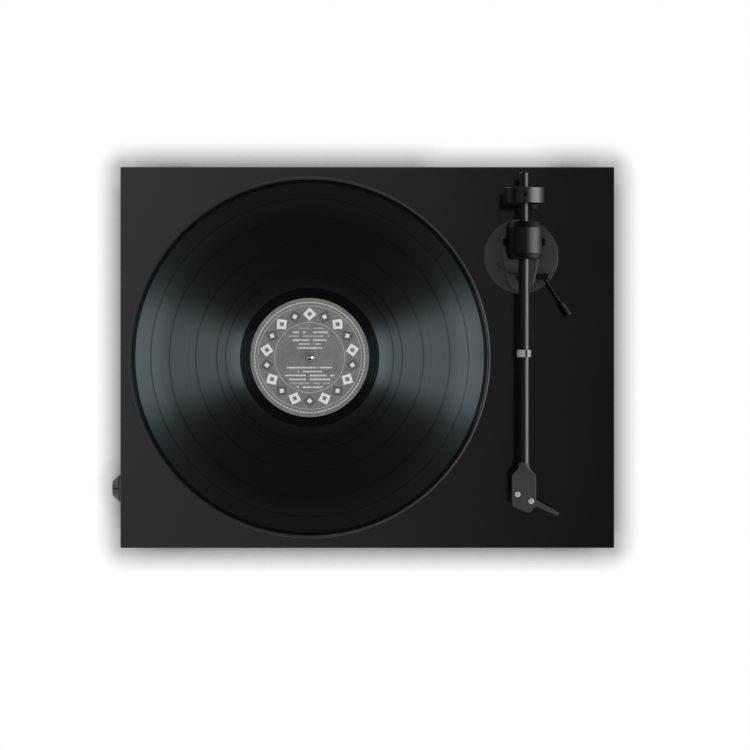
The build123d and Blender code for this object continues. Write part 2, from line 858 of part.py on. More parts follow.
# ---------------------------------------------------------------- motor
motor_plate_top_z = deck_under_z - motor_grommet_height
motor_plate_z = motor_plate_top_z - motor_plate_thickness
motor_bottom_z = motor_plate_z - motor_length
shaft_top_z = disc_top_z
with BuildPart() as motor_can:
    with BuildSketch(upright(motor_x, motor_y)):
        with BuildLine():
            Polyline(
                (0, motor_bottom_z),
                (motor_radius, motor_bottom_z),
                (motor_radius, motor_plate_z),
                (motor_boss_radius, motor_plate_z),
                (motor_boss_radius, motor_plate_top_z + motor_boss_height),
                (motor_shaft_radius + running_fit, motor_plate_top_z + motor_boss_height),
                (motor_shaft_radius + running_fit, motor_bottom_z + motor_boss_height),
                (0, motor_bottom_z + motor_boss_height),
                close=True,
            )
        make_face()
    revolve(axis=upright_axis(motor_x, motor_y))
    fillet(motor_can.edges().group_by(Axis.Z)[0], motor_can_round)
motor_can.part.label = "motor_can"
export_step(motor_can.part, "parts/motor_can.step")

with BuildPart() as motor_plate:
    with BuildSketch(Plane.XY.offset(motor_plate_z)):
        with Locations((motor_x, motor_y)):
            Circle(motor_radius)
            with PolarLocations(motor_ear_circle_radius, 3):
                Circle(motor_plate_radius - motor_ear_circle_radius + motor_ear_wall)
            Circle(motor_boss_radius, mode=Mode.SUBTRACT)
            with PolarLocations(motor_ear_circle_radius, 3):
                Circle(motor_screw_radius + screw_fit, mode=Mode.SUBTRACT)
    extrude(amount=motor_plate_thickness)
motor_plate.part.label = "motor_plate"
export_step(motor_plate.part, "parts/motor_plate.step")

with BuildPart() as motor_grommets:
    with BuildSketch(Plane.XY.offset(motor_plate_top_z)):
        with Locations((motor_x, motor_y)):
            with PolarLocations(motor_ear_circle_radius, 3):
                Circle(motor_grommet_radius)
                Circle(motor_screw_radius + screw_fit, mode=Mode.SUBTRACT)
    extrude(amount=motor_grommet_height)
motor_grommets.part.label = "motor_grommets"
export_step(motor_grommets.part, "parts/motor_grommets.step")

with BuildPart() as motor_screws:
    with BuildSketch(Plane.XY.offset(motor_plate_z)):
        with Locations((motor_x, motor_y)):
            with PolarLocations(motor_ear_circle_radius, 3):
                Circle(motor_screw_head)
    extrude(amount=-motor_plate_thickness)
    with BuildSketch(Plane.XY.offset(motor_plate_z)):
        with Locations((motor_x, motor_y)):
            with PolarLocations(motor_ear_circle_radius, 3):
                Circle(motor_screw_radius)
    extrude(amount=deck_under_z - motor_plate_z)
motor_screws.part.label = "motor_screws"
export_step(motor_screws.part, "parts/motor_screws.step")

with BuildPart() as motor_shaft:
    with BuildSketch(Plane.XY.offset(motor_bottom_z + motor_boss_height + drop_in_fit)):
        with Locations((motor_x, motor_y)):
            Circle(motor_shaft_radius)
    extrude(amount=shaft_top_z - motor_bottom_z - motor_boss_height - drop_in_fit)
motor_shaft.part.label = "motor_shaft"
export_step(motor_shaft.part, "parts/motor_shaft.step")

pulley_bottom_z = belt_z - belt_width / 2 - pulley_flange_thickness - pulley_side_gap
pulley_top_z = belt_z + belt_width / 2 + pulley_flange_thickness + pulley_side_gap
with BuildPart() as motor_pulley:
    with BuildSketch(upright(motor_x, motor_y)):
        with BuildLine():
            Polyline(
                (pulley_radius - pulley_crown, pulley_bottom_z + pulley_flange_thickness),
                (pulley_radius + pulley_flange, pulley_bottom_z + pulley_flange_thickness),
                (pulley_radius + pulley_flange, pulley_bottom_z),
                (motor_shaft_radius, pulley_bottom_z),
                (motor_shaft_radius, pulley_top_z),
                (pulley_radius + pulley_flange, pulley_top_z),
                (pulley_radius + pulley_flange, pulley_top_z - pulley_flange_thickness),
                (pulley_radius - pulley_crown, pulley_top_z - pulley_flange_thickness),
            )
            ThreePointArc(
                (pulley_radius - pulley_crown, pulley_top_z - pulley_flange_thickness),
                (pulley_radius, belt_z),
                (pulley_radius - pulley_crown, pulley_bottom_z + pulley_flange_thickness),
            )
        make_face()
    revolve(axis=upright_axis(motor_x, motor_y))
motor_pulley.part.label = "motor_pulley"
export_step(motor_pulley.part, "parts/motor_pulley.step")

# ---------------------------------------------------------------- belt: a loop round disc and pulley
with BuildPart() as drive_belt:
    with BuildSketch(Plane.XY.offset(belt_z - belt_width / 2)):
        with BuildSketch(mode=Mode.PRIVATE) as outer_rounds:
            with Locations((platter_x, 0)):
                Circle(drive_disc_radius + belt_clearance + belt_thickness)
            with Locations((motor_x, motor_y)):
                Circle(pulley_radius + belt_clearance + belt_thickness)
        with BuildSketch(mode=Mode.PRIVATE) as inner_rounds:
            with Locations((platter_x, 0)):
                Circle(drive_disc_radius + belt_clearance)
            with Locations((motor_x, motor_y)):
                Circle(pulley_radius + belt_clearance)
        make_hull(outer_rounds.edges())
        make_hull(inner_rounds.edges(), mode=Mode.SUBTRACT)
    extrude(amount=belt_width)
drive_belt.part.label = "drive_belt"
export_step(drive_belt.part, "parts/drive_belt.step")

# ---------------------------------------------------------------- speed selector
knob_inner_x = plinth_left - knob_gap
knob_outer_x = plinth_left - side_knob_proud
knob_recess_x = knob_inner_x - selector_nut_thickness
selector_axis = Axis((0, selector_y, knob_z), (1, 0, 0))
with BuildPart() as selector_switch:
    with BuildSketch(across(plinth_left + selector_wall, selector_y, knob_z)):
        RectangleRounded(selector_body, selector_body, selector_body_round)
    extrude(amount=selector_body_depth)
    with BuildSketch(across(plinth_left + selector_wall, selector_y, knob_z)):
        Circle(selector_bush_radius)
    extrude(amount=-(selector_wall + selector_nut_thickness))
    with BuildSketch(across(plinth_left - selector_nut_thickness, selector_y, knob_z)):
        Circle(selector_shaft_radius + running_fit)
    extrude(amount=selector_wall + selector_nut_thickness + selector_body_depth / 2, mode=Mode.SUBTRACT)
selector_switch.part.label = "selector_switch"
export_step(selector_switch.part, "parts/selector_switch.step")

with BuildPart() as selector_nut:
    with BuildSketch(across(plinth_left, selector_y, knob_z)):
        RegularPolygon(selector_nut_radius, 6)
        Circle(selector_bush_radius, mode=Mode.SUBTRACT)
    extrude(amount=-selector_nut_thickness)
selector_nut.part.label = "selector_nut"
export_step(selector_nut.part, "parts/selector_nut.step")

knob_bore_x = knob_outer_x + knob_dish + knob_cap
with BuildPart() as selector_shaft:
    with BuildSketch(across(knob_bore_x, selector_y, knob_z)):
        Circle(selector_shaft_radius)
    extrude(amount=plinth_left + selector_wall + selector_body_depth / 2 - selector_shaft_gap - knob_bore_x)
selector_shaft.part.label = "selector_shaft"
export_step(selector_shaft.part, "parts/selector_shaft.step")

with BuildPart() as selector_knob:
    with BuildSketch(Plane((0, selector_y, knob_z))):
        with BuildLine():
            Polyline(
                (knob_outer_x + knob_dish, 0),
                (knob_bore_x, 0),
                (knob_bore_x, selector_shaft_radius),
                (knob_recess_x - knob_nut_gap, selector_shaft_radius),
                (knob_recess_x - knob_nut_gap, selector_nut_radius + knob_nut_clearance),
                (knob_inner_x, selector_nut_radius + knob_nut_clearance),
                (knob_inner_x, knob_radius),
                (knob_inner_x - knob_skirt, knob_radius),
                (knob_outer_x, knob_face_radius),
                (knob_outer_x + knob_dish, knob_face_radius - 2 * knob_dish),
                (knob_outer_x + knob_dish, 0),
                close=True,
            )
        make_face()
    revolve(axis=selector_axis)
    # pointer groove down the sloping flank
    with BuildSketch(across(knob_outer_x, selector_y, knob_z)):
        with Locations((0, knob_radius)):
            SlotOverall(2 * (knob_radius - knob_face_radius), knob_pointer_width, rotation=90)
    extrude(amount=side_knob_proud - knob_gap - knob_skirt, mode=Mode.SUBTRACT)
selector_knob.part.label = "selector_knob"
export_step(selector_knob.part, "parts/selector_knob.step")

# ---------------------------------------------------------------- control board under the deck
board_z = deck_under_z - standoff_height - board_thickness
with BuildPart() as board_standoffs:
    with BuildSketch(Plane.XY.offset(deck_under_z - standoff_height)):
        with Locations(*standoff_places):
            RegularPolygon(standoff_radius, 6)
    extrude(amount=standoff_height)
board_standoffs.part.label = "board_standoffs"
export_step(board_standoffs.part, "parts/board_standoffs.step")

with BuildPart() as control_board:
    with BuildSketch(Plane.XY.offset(board_z)):
        with Locations((board_x, board_offset_y)):
            RectangleRounded(board_width, board_depth, board_corner)
    extrude(amount=board_thickness)
control_board.part.label = "control_board"
export_step(control_board.part, "parts/control_board.step")

component_drop = board_z - plate_top_z - component_gap
cooler_depth = (cooler_fin_count - 1) * cooler_fin_pitch + cooler_fin
with BuildPart() as board_components:
    # smoothing capacitors, regulator with its finned cooler, driver chip and plug header
    with BuildSketch(Plane.XY.offset(board_z)):
        with Locations((board_x, board_offset_y)):
            with GridLocations(capacitor_pitch, 0, capacitor_count, 1):
                Circle(capacitor_radius)
    extrude(amount=-component_drop)
    with BuildSketch(Plane.XY.offset(board_z)):
        with Locations((board_x + cooler_offset_x, board_offset_y + cooler_offset_y)):
            with GridLocations(0, cooler_fin_pitch, 1, cooler_fin_count):
                Rectangle(cooler_width, cooler_fin)
            Rectangle(cooler_spine, cooler_depth)
    extrude(amount=-cooler_height)
    with BuildSketch(Plane.XY.offset(board_z)):
        with Locations((board_x - low_part_offset_x, board_offset_y + low_part_offset_y)):
            Rectangle(chip_length, chip_width)
        with Locations((board_x + low_part_offset_x, board_offset_y + low_part_offset_y)):
            Rectangle(header_length, header_width)
    extrude(amount=-low_part_height)
board_components.part.label = "board_components"
export_step(board_components.part, "parts/board_components.step")

# ---------------------------------------------------------------- connectors
thread_radius = jack_radius - jack_thread_depth
with BuildPart() as connector_panel:
    with BuildSketch(upright(recess_x, recess_front)):
        with Locations((0, foot_height + recess_height / 2)):
            Rectangle(recess_width - 2 * drop_in_fit, recess_height - 2 * drop_in_fit)
        with Locations(*[(x - recess_x, connector_z) for x in jack_places]):
            Circle(thread_radius + screw_fit, mode=Mode.SUBTRACT)
        with Locations((ground_x - recess_x, connector_z)):
            Circle(ground_stud_radius + screw_fit, mode=Mode.SUBTRACT)
        with Locations((inlet_x - recess_x, connector_z)):
            Circle(inlet_bore_radius + inlet_wall + screw_fit, mode=Mode.SUBTRACT)
        with Locations(*[(x - recess_x, connector_z) for x in panel_screw_places]):
            Circle(panel_screw_radius + screw_fit, mode=Mode.SUBTRACT)
    extrude(amount=-panel_thickness)
connector_panel.part.label = "connector_panel"
export_step(connector_panel.part, "parts/connector_panel.step")

with BuildPart() as panel_screws:
    for x in panel_screw_places:
        with BuildSketch(upright(x, panel_back)):
            with Locations((0, connector_z)):
                Circle(panel_screw_head)
        extrude(amount=-panel_screw_radius)
        with BuildSketch(upright(x, panel_back)):
            with Locations((0, connector_z)):
                Circle(panel_screw_radius)
        extrude(amount=panel_screw_length)
panel_screws.part.label = "panel_screws"
export_step(panel_screws.part, "parts/panel_screws.step")

jack_end_y = panel_back + jack_length
insulator_radius = jack_radius - jack_wall
with BuildPart() as output_jacks:
    for x in jack_places:
        with BuildSketch(Plane((x, 0, connector_z))):
            with BuildLine():
                Polyline(
                    (insulator_radius, jack_end_y),
                    (jack_radius, jack_end_y),
                    (jack_radius, panel_back + jack_nut_thickness),
                    (jack_nut_radius, panel_back + jack_nut_thickness),
                    (jack_nut_radius, panel_back),
                    (thread_radius, panel_back),
                    (thread_radius, recess_front),
                    (jack_nut_radius, recess_front),
                    (jack_nut_radius, recess_front - jack_length),
                    (0, recess_front - jack_length),
                    (0, panel_back),
                    (insulator_radius, panel_back + jack_nut_thickness),
                    close=True,
                )
            make_face()
        revolve(axis=Axis((x, 0, connector_z), (0, 1, 0)))
output_jacks.part.label = "output_jacks"
export_step(output_jacks.part, "parts/output_jacks.step")

with BuildPart() as jack_insulators:
    for x in jack_places:
        with BuildSketch(upright(x, panel_back + jack_nut_thickness)):
            with Locations((0, connector_z)):
                Circle(insulator_radius)
                Circle(jack_bore_radius, mode=Mode.SUBTRACT)
        extrude(amount=-(jack_length - jack_nut_thickness - insulator_recess))
jack_insulators.part.label = "jack_insulators"
export_step(jack_insulators.part, "parts/jack_insulators.step")

with BuildPart() as ground_terminal:
    with BuildSketch(upright(ground_x, recess_front - jack_length)):
        with Locations((0, connector_z)):
            Circle(ground_stud_radius)
    extrude(amount=-(2 * jack_length + panel_thickness))
    with BuildSketch(upright(ground_x, panel_back)):
        with Locations((0, connector_z)):
            Circle(ground_nut_radius)
            with PolarLocations(ground_nut_radius, ground_knurls):
                Circle(ground_knurl_radius, mode=Mode.SUBTRACT)
    extrude(amount=-ground_nut_thickness)
ground_terminal.part.label = "ground_terminal"
export_step(ground_terminal.part, "parts/ground_terminal.step")

with BuildPart() as power_inlet:
    with BuildSketch(upright(inlet_x, recess_front)):
        with Locations((0, connector_z)):
            Rectangle(inlet_block, inlet_block)
    extrude(amount=inlet_block_depth)
    with BuildSketch(upright(inlet_x, recess_front)):
        with Locations((0, connector_z)):
            Circle(inlet_bore_radius + inlet_wall)
    extrude(amount=-(panel_thickness + inlet_proud))
    with BuildSketch(upright(inlet_x, panel_back + inlet_proud)):
        with Locations((0, connector_z)):
            Circle(inlet_bore_radius)
            Circle(inlet_pin_radius, mode=Mode.SUBTRACT)
    extrude(amount=jack_length, mode=Mode.SUBTRACT)
power_inlet.part.label = "power_inlet"
export_step(power_inlet.part, "parts/power_inlet.step")

# ---------------------------------------------------------------- tonearm base
pillar_bottom_z = deck_z - pillar_drop
with BuildPart() as arm_base_disc:
    with BuildSketch(Plane.XY.offset(deck_z)):
        with Locations((pivot_x, base_disc_y)):
            Circle(base_disc_radius)
    extrude(amount=base_disc_thickness)
    chamfer(arm_base_disc.edges().group_by(Axis.Z)[-1], base_disc_chamfer)
    with BuildSketch(Plane.XY.offset(pillar_bottom_z)):
        with Locations((pivot_x, pivot_y)):
            Circle(base_disc_spigot)
    extrude(amount=pillar_drop)
    with BuildSketch(Plane.XY.offset(pillar_bottom_z)):
        with Locations((pivot_x, pivot_y)):
            Circle(pillar_radius)
    extrude(amount=pillar_drop + base_disc_thickness, mode=Mode.SUBTRACT)
arm_base_disc.part.label = "arm_base_disc"
export_step(arm_base_disc.part, "parts/arm_base_disc.step")

# ring nut that clamps the disc's spigot under the deck, on a thread below the deck's underside
with BuildPart() as base_ring_nut:
    with BuildSketch(Plane.XY.offset(deck_under_z - ring_nut_height)):
        with Locations((pivot_x, pivot_y)):
            Circle(arm_pocket_radius - ring_nut_gap)
            Circle(pillar_radius + ring_nut_gap, mode=Mode.SUBTRACT)
            with PolarLocations(arm_pocket_radius - ring_nut_gap, ring_nut_slots):
                Rectangle(2 * ring_nut_slot_depth, ring_nut_slot_width, mode=Mode.SUBTRACT)
    extrude(amount=ring_nut_height)
    with BuildSketch(Plane.XY.offset(deck_under_z)):
        with Locations((pivot_x, pivot_y)):
            Circle(base_disc_spigot + screw_fit)
    extrude(amount=pillar_bottom_z - deck_under_z, mode=Mode.SUBTRACT)
base_ring_nut.part.label = "base_ring_nut"
export_step(base_ring_nut.part, "parts/base_ring_nut.step")

with BuildPart() as arm_base_body:
    with BuildSketch(Plane.XY.offset(base_disc_top_z)):
        with BuildSketch(mode=Mode.PRIVATE) as rounds:
            with Locations((pivot_x + base_body_shift_x, pivot_y)):
                Circle(base_body_radius)
            with Locations((pivot_x + base_body_tip_shift_x, pivot_y - base_body_tip_reach)):
                Circle(base_body_tip_radius)
        make_hull(rounds.edges())
    extrude(amount=base_body_height)
    chamfer(arm_base_body.edges().group_by(Axis.Z)[-1], base_body_chamfer)
    with BuildSketch(Plane.XY.offset(base_disc_top_z)):
        with Locations((pivot_x, pivot_y)):
            Circle(pillar_radius)
    extrude(amount=base_body_height, mode=Mode.SUBTRACT)
    # well for the lift piston and the cross bore for the lever's shaft
    with BuildSketch(Plane.XY.offset(base_body_top_z)):
        with Locations((pivot_x, lift_y)):
            Circle(piston_radius + slide_fit)
    extrude(amount=lever_z - lever_shaft_radius - lever_end_gap - base_body_top_z, mode=Mode.SUBTRACT)
    with BuildSketch(across(shaft_left_x - lever_end_gap, lift_y, lever_z)):
        Circle(lever_shaft_radius + running_fit)
    extrude(amount=base_body_tip_radius + base_body_radius, mode=Mode.SUBTRACT)
arm_base_body.part.label = "arm_base_body"
export_step(arm_base_body.part, "parts/arm_base_body.step")

bearing_bore = swivel_shaft_radius + running_fit
pillar_top_z = base_body_top_z - resting_gap
shoulder_radius = swivel_bearing_radius - swivel_bearing_shoulder
with BuildPart() as swivel_pillar:
    with BuildSketch(upright(pivot_x, pivot_y)):
        with BuildLine():
            Polyline(
                (swivel_bearing_radius, pillar_bottom_z),
                (pillar_radius, pillar_bottom_z),
                (pillar_radius, pillar_top_z),
                (swivel_bearing_radius, pillar_top_z),
                (swivel_bearing_radius, pillar_top_z - swivel_bearing_width),
                (shoulder_radius, pillar_top_z - swivel_bearing_width),
                (shoulder_radius, pillar_bottom_z + swivel_bearing_width),
                (swivel_bearing_radius, pillar_bottom_z + swivel_bearing_width),
                close=True,
            )
        make_face()
    revolve(axis=upright_axis(pivot_x, pivot_y))
swivel_pillar.part.label = "swivel_pillar"
export_step(swivel_pillar.part, "parts/swivel_pillar.step")

with BuildPart() as swivel_bearings:
    for z in (pillar_bottom_z, pillar_top_z - swivel_bearing_width):
        with BuildSketch(Plane.XY.offset(z)):
            with Locations((pivot_x, pivot_y)):
                Circle(swivel_bearing_radius)
                Circle(bearing_bore, mode=Mode.SUBTRACT)
        extrude(amount=swivel_bearing_width)
swivel_bearings.part.label = "swivel_bearings"
export_step(swivel_bearings.part, "parts/swivel_bearings.step")

# ---------------------------------------------------------------- yoke that carries the arm
yoke_inner = barrel_radius + yoke_gap
yoke_outer = yoke_inner + yoke_wall
yoke_foot_z = base_body_top_z + resting_gap
yoke_post_top = arm_z + yoke_width / 2
with BuildPart() as arm_yoke:
    with BuildSketch(upright(pivot_x, pivot_y)):
        with Locations((0, arm_z)):
            Circle(yoke_outer)
        with Locations((0, arm_z + yoke_outer / 2)):
            Rectangle(2 * yoke_outer, yoke_outer, mode=Mode.SUBTRACT)
        with Locations((0, (arm_z + yoke_post_top) / 2)):
            Rectangle(2 * yoke_outer, yoke_post_top - arm_z)
            Rectangle(2 * yoke_inner, yoke_post_top - arm_z, mode=Mode.SUBTRACT)
        with Locations((0, arm_z)):
            Circle(yoke_inner, mode=Mode.SUBTRACT)
    extrude(amount=yoke_width / 2, both=True)
    fillet(arm_yoke.edges().group_by(Axis.Z)[-1].filter_by(Axis.X), (yoke_width - yoke_post_flat) / 2)
    with BuildSketch(upright(pivot_x, pivot_y)):
        with BuildLine():
            Polyline(
                (0, pillar_bottom_z + drop_in_fit),
                (swivel_shaft_radius, pillar_bottom_z + drop_in_fit),
                (swivel_shaft_radius, yoke_foot_z),
                (yoke_foot_radius, yoke_foot_z),
                (yoke_foot_radius, yoke_foot_z + yoke_wall),
                (yoke_width / 2 + yoke_wall, arm_z - yoke_outer - 2 * yoke_wall),
                (yoke_width / 2, arm_z - yoke_outer + yoke_wall / 2),
                (0, arm_z - yoke_outer + yoke_wall / 2),
                close=True,
            )
        make_face()
    revolve(axis=upright_axis(pivot_x, pivot_y))
    with BuildSketch(across(pivot_x - yoke_outer, pivot_y, arm_z)):
        Circle(pivot_screw_radius)
    extrude(amount=2 * yoke_outer, mode=Mode.SUBTRACT)
arm_yoke.part.label = "arm_yoke"
export_step(arm_yoke.part, "parts/arm_yoke.step")

with BuildPart() as pivot_screws:
    for side in (-1, 1):
        with BuildSketch(across(pivot_x + side * (barrel_radius - pivot_screw_depth), pivot_y, arm_z)):
            Circle(pivot_screw_radius)
        extrude(amount=side * (yoke_outer + pivot_screw_proud - barrel_radius + pivot_screw_depth))
        with BuildSketch(across(pivot_x + side * yoke_outer, pivot_y, arm_z)):
            Circle(pivot_screw_head)
        extrude(amount=side * pivot_screw_proud)
pivot_screws.part.label = "pivot_screws"
export_step(pivot_screws.part, "parts/pivot_screws.step")

# ---------------------------------------------------------------- arm: barrel, tube, stub, collar
arm_axis = Axis((pivot_x, 0, arm_z), (0, 1, 0))
cone_radius = barrel_radius - barrel_cone_drop
with BuildPart() as bearing_barrel:
    with BuildSketch(Plane((pivot_x, 0, arm_z))):
        with BuildLine():
            Polyline(
                (arm_tube_radius, barrel_front_y),
                (cone_radius, barrel_front_y),
                (barrel_radius, barrel_front_y + barrel_cone_length),
                (barrel_radius, barrel_rear_y - barrel_cone_length),
                (cone_radius, barrel_rear_y),
                (stub_radius, barrel_rear_y),
                (stub_radius, barrel_rear_y - arm_tube_socket),
                (0, barrel_rear_y - arm_tube_socket),
                (0, barrel_front_y + arm_tube_socket),
                (arm_tube_radius, barrel_front_y + arm_tube_socket),
                close=True,
            )
        make_face()
    revolve(axis=arm_axis)
    cup_floor = barrel_radius - pivot_screw_depth - pivot_screw_tip_gap
    for side in (-1, 1):
        with BuildSketch(across(pivot_x + side * cup_floor, pivot_y, arm_z)):
            Circle(pivot_screw_radius + running_fit)
        extrude(amount=side * barrel_radius, mode=Mode.SUBTRACT)
bearing_barrel.part.label = "bearing_barrel"
export_step(bearing_barrel.part, "parts/bearing_barrel.step")

with BuildPart() as arm_tube:
    with BuildSketch(facing_back(pivot_x, neck_y, arm_z)):
        Circle(arm_tube_radius)
        Circle(arm_tube_radius - arm_tube_wall, mode=Mode.SUBTRACT)
    extrude(amount=barrel_front_y + arm_tube_socket - neck_y)
arm_tube.part.label = "arm_tube"
export_step(arm_tube.part, "parts/arm_tube.step")

with BuildPart() as weight_stub:
    with BuildSketch(facing_back(pivot_x, barrel_rear_y - arm_tube_socket, arm_z)):
        Circle(stub_radius)
    extrude(amount=pivot_y + stub_reach - barrel_rear_y + arm_tube_socket)
    chamfer(weight_stub.edges().group_by(Axis.Y)[-1], stub_chamfer)
weight_stub.part.label = "weight_stub"
export_step(weight_stub.part, "parts/weight_stub.step")

with BuildPart() as tube_collar:
    with BuildSketch(facing_back(pivot_x, collar_y - collar_width / 2, arm_z)):
        Circle(collar_radius)
        Circle(arm_tube_radius, mode=Mode.SUBTRACT)
        with Locations((-collar_slit_offset, collar_radius / 2 + collar_slit_floor)):
            Rectangle(collar_slit, collar_radius, mode=Mode.SUBTRACT)
    extrude(amount=collar_width)
    chamfer(tube_collar.edges().filter_by(GeomType.CIRCLE).group_by(SortBy.RADIUS)[-1], collar_chamfer)
tube_collar.part.label = "tube_collar"
export_step(tube_collar.part, "parts/tube_collar.step")

rest_saddle = collar_radius + resting_gap
with BuildPart() as arm_rest:
    with BuildSketch(Plane.XY.offset(deck_z)):
        with Locations((pivot_x, collar_y)):
            Circle(arm_tube_radius)
    extrude(amount=rest_foot_height)
    with BuildSketch(Plane.XY.offset(deck_z)):
        with Locations((pivot_x, collar_y)):
            Circle(rest_post_radius)
    extrude(amount=arm_z - rest_saddle - deck_z - rest_saddle_depth)
    # saddle under the collar: open on the record's side, with a lip on the outer side
    with BuildSketch(upright(pivot_x, collar_y)):
        with Locations((rest_saddle_shift, arm_z - rest_saddle)):
            Rectangle(rest_saddle_width, 2 * rest_saddle_depth)
        with Locations((0, arm_z)):
            Circle(rest_saddle, mode=Mode.SUBTRACT)
        with Locations((-collar_radius, arm_z)):
            Rectangle(2 * collar_radius, 2 * rest_saddle, mode=Mode.SUBTRACT)
    extrude(amount=rest_saddle_length / 2, both=True)
arm_rest.part.label = "arm_rest"
export_step(arm_rest.part, "parts/arm_rest.step")

# ---------------------------------------------------------------- counterweight
with BuildPart() as counterweight:
    with BuildSketch(facing_back(pivot_x, weight_y - weight_length / 2, arm_z)):
        Circle(weight_radius)
        Circle(stub_radius + slide_fit, mode=Mode.SUBTRACT)
    extrude(amount=weight_length)
    chamfer(counterweight.edges().filter_by(GeomType.CIRCLE).group_by(SortBy.RADIUS)[-1], weight_chamfer)
    with BuildSketch(Plane.XY.offset(arm_z + stub_radius)):
        with Locations((pivot_x, weight_y)):
            Circle(weight_screw_radius)
    extrude(amount=weight_radius, mode=Mode.SUBTRACT)
counterweight.part.label = "counterweight"
export_step(counterweight.part, "parts/counterweight.step")

with BuildPart() as weight_screw:
    with BuildSketch(Plane.XY.offset(arm_z + stub_radius + resting_gap)):
        with Locations((pivot_x, weight_y)):
            Circle(weight_screw_radius)
    extrude(amount=weight_radius - stub_radius - weight_screw_sink)
    with BuildSketch(Plane.XY.offset(arm_z + weight_radius - weight_screw_sink + resting_gap)):
        with Locations((pivot_x, weight_y)):
            RegularPolygon(weight_screw_key, 6)
    extrude(amount=-weight_screw_key_depth, mode=Mode.SUBTRACT)
weight_screw.part.label = "weight_screw"
export_step(weight_screw.part, "parts/weight_screw.step")

# ---------------------------------------------------------------- headshell
shell_top_z = shell_bottom_z + shell_thickness
shell_mid_z = shell_bottom_z + shell_thickness / 2
cartridge_plane = Plane(
    origin=(cartridge_x, cartridge_y, shell_bottom_z),
    x_dir=(cos(radians(cartridge_angle)), -sin(radians(cartridge_angle)), 0),
    z_dir=(0, 0, 1),
)
with BuildPart() as headshell:
    # spigot inside the tube, then a neck that flows from the round tube into the flat plate
    with BuildSketch(facing_back(pivot_x, neck_y, arm_z)):
        Circle(arm_tube_radius - arm_tube_wall)
    extrude(amount=arm_tube_socket)
    neck_end = cartridge_y + shell_shoulder_behind
    with BuildSketch(upright(pivot_x, neck_y)):
        with Locations((0, arm_z)):
            RectangleRounded(2 * arm_tube_radius, 2 * arm_tube_radius, neck_start_round)
    with BuildSketch(upright(pivot_x, neck_y + (neck_end - neck_y) * neck_mid_share)):
        with Locations((0, (arm_z + shell_mid_z) / 2)):
            RectangleRounded(neck_mid_width, neck_mid_height, neck_mid_round)
    with BuildSketch(upright(pivot_x, neck_end)):
        with Locations((0, shell_mid_z)):
            RectangleRounded(shell_width, shell_thickness, shell_edge_round)
    loft()
    with BuildSketch(Plane((pivot_x, cartridge_y, shell_bottom_z))):
        with BuildLine():
            Polyline(
                (-shell_width / 2, shell_shoulder_behind + neck_overlap),
                (shell_width / 2, shell_shoulder_behind + neck_overlap),
                (shell_width / 2, -shell_left_corner_ahead),
                (shell_tip_x, -shell_tip_ahead),
                (-shell_width / 2 + shell_left_taper, -shell_left_corner_ahead),
                close=True,
            )
        make_face()
    extrude(amount=shell_thickness)
    front_corners = headshell.edges().filter_by(Axis.Z).group_by(Axis.Y)
    fillet(front_corners[0] + front_corners[1], shell_corner_round)
    finger_plane = Plane(
        origin=(pivot_x + shell_width / 2, cartridge_y - finger_lift_ahead, shell_top_z),
        x_dir=(cos(radians(finger_lift_angle)), sin(radians(finger_lift_angle)), 0),
        z_dir=(0, 0, 1),
    )
    with BuildSketch(finger_plane):
        with BuildLine():
            Polyline(
                (-finger_lift_root, finger_lift_root / 2),
                (0, finger_lift_root / 2),
                (finger_lift_length, finger_lift_tip / 2),
                (finger_lift_length, -finger_lift_tip / 2),
                (0, -finger_lift_root / 2),
                (-finger_lift_root, -finger_lift_root / 2),
                close=True,
            )
        make_face()
    extrude(amount=-finger_lift_thickness)
    with BuildSketch(cartridge_plane):
        with GridLocations(cartridge_screw_pitch, 0, 2, 1):
            Circle(cartridge_screw_radius + screw_fit)
    extrude(amount=shell_thickness, mode=Mode.SUBTRACT)
headshell.part.label = "headshell"
export_step(headshell.part, "parts/headshell.step")

# ---------------------------------------------------------------- cartridge
ear_screw_depth = cartridge_ear_thickness + cartridge_screw_grip
with BuildPart() as cartridge_screws:
    with BuildSketch(cartridge_plane.offset(shell_thickness)):
        with GridLocations(cartridge_screw_pitch, 0, 2, 1):
            Circle(cartridge_screw_head)
    extrude(amount=cartridge_screw_head_height)
    chamfer(cartridge_screws.edges().group_by(Axis.Z)[-1], cartridge_screw_chamfer)
    with BuildSketch(cartridge_plane.offset(shell_thickness + cartridge_screw_head_height)):
        with GridLocations(cartridge_screw_pitch, 0, 2, 1):
            RegularPolygon(cartridge_screw_key, 6)
    extrude(amount=-cartridge_screw_key_depth, mode=Mode.SUBTRACT)
    with BuildSketch(cartridge_plane.offset(shell_thickness)):
        with GridLocations(cartridge_screw_pitch, 0, 2, 1):
            Circle(cartridge_screw_radius)
    extrude(amount=-(shell_thickness + ear_screw_depth - resting_gap))
cartridge_screws.part.label = "cartridge_screws"
export_step(cartridge_screws.part, "parts/cartridge_screws.step")

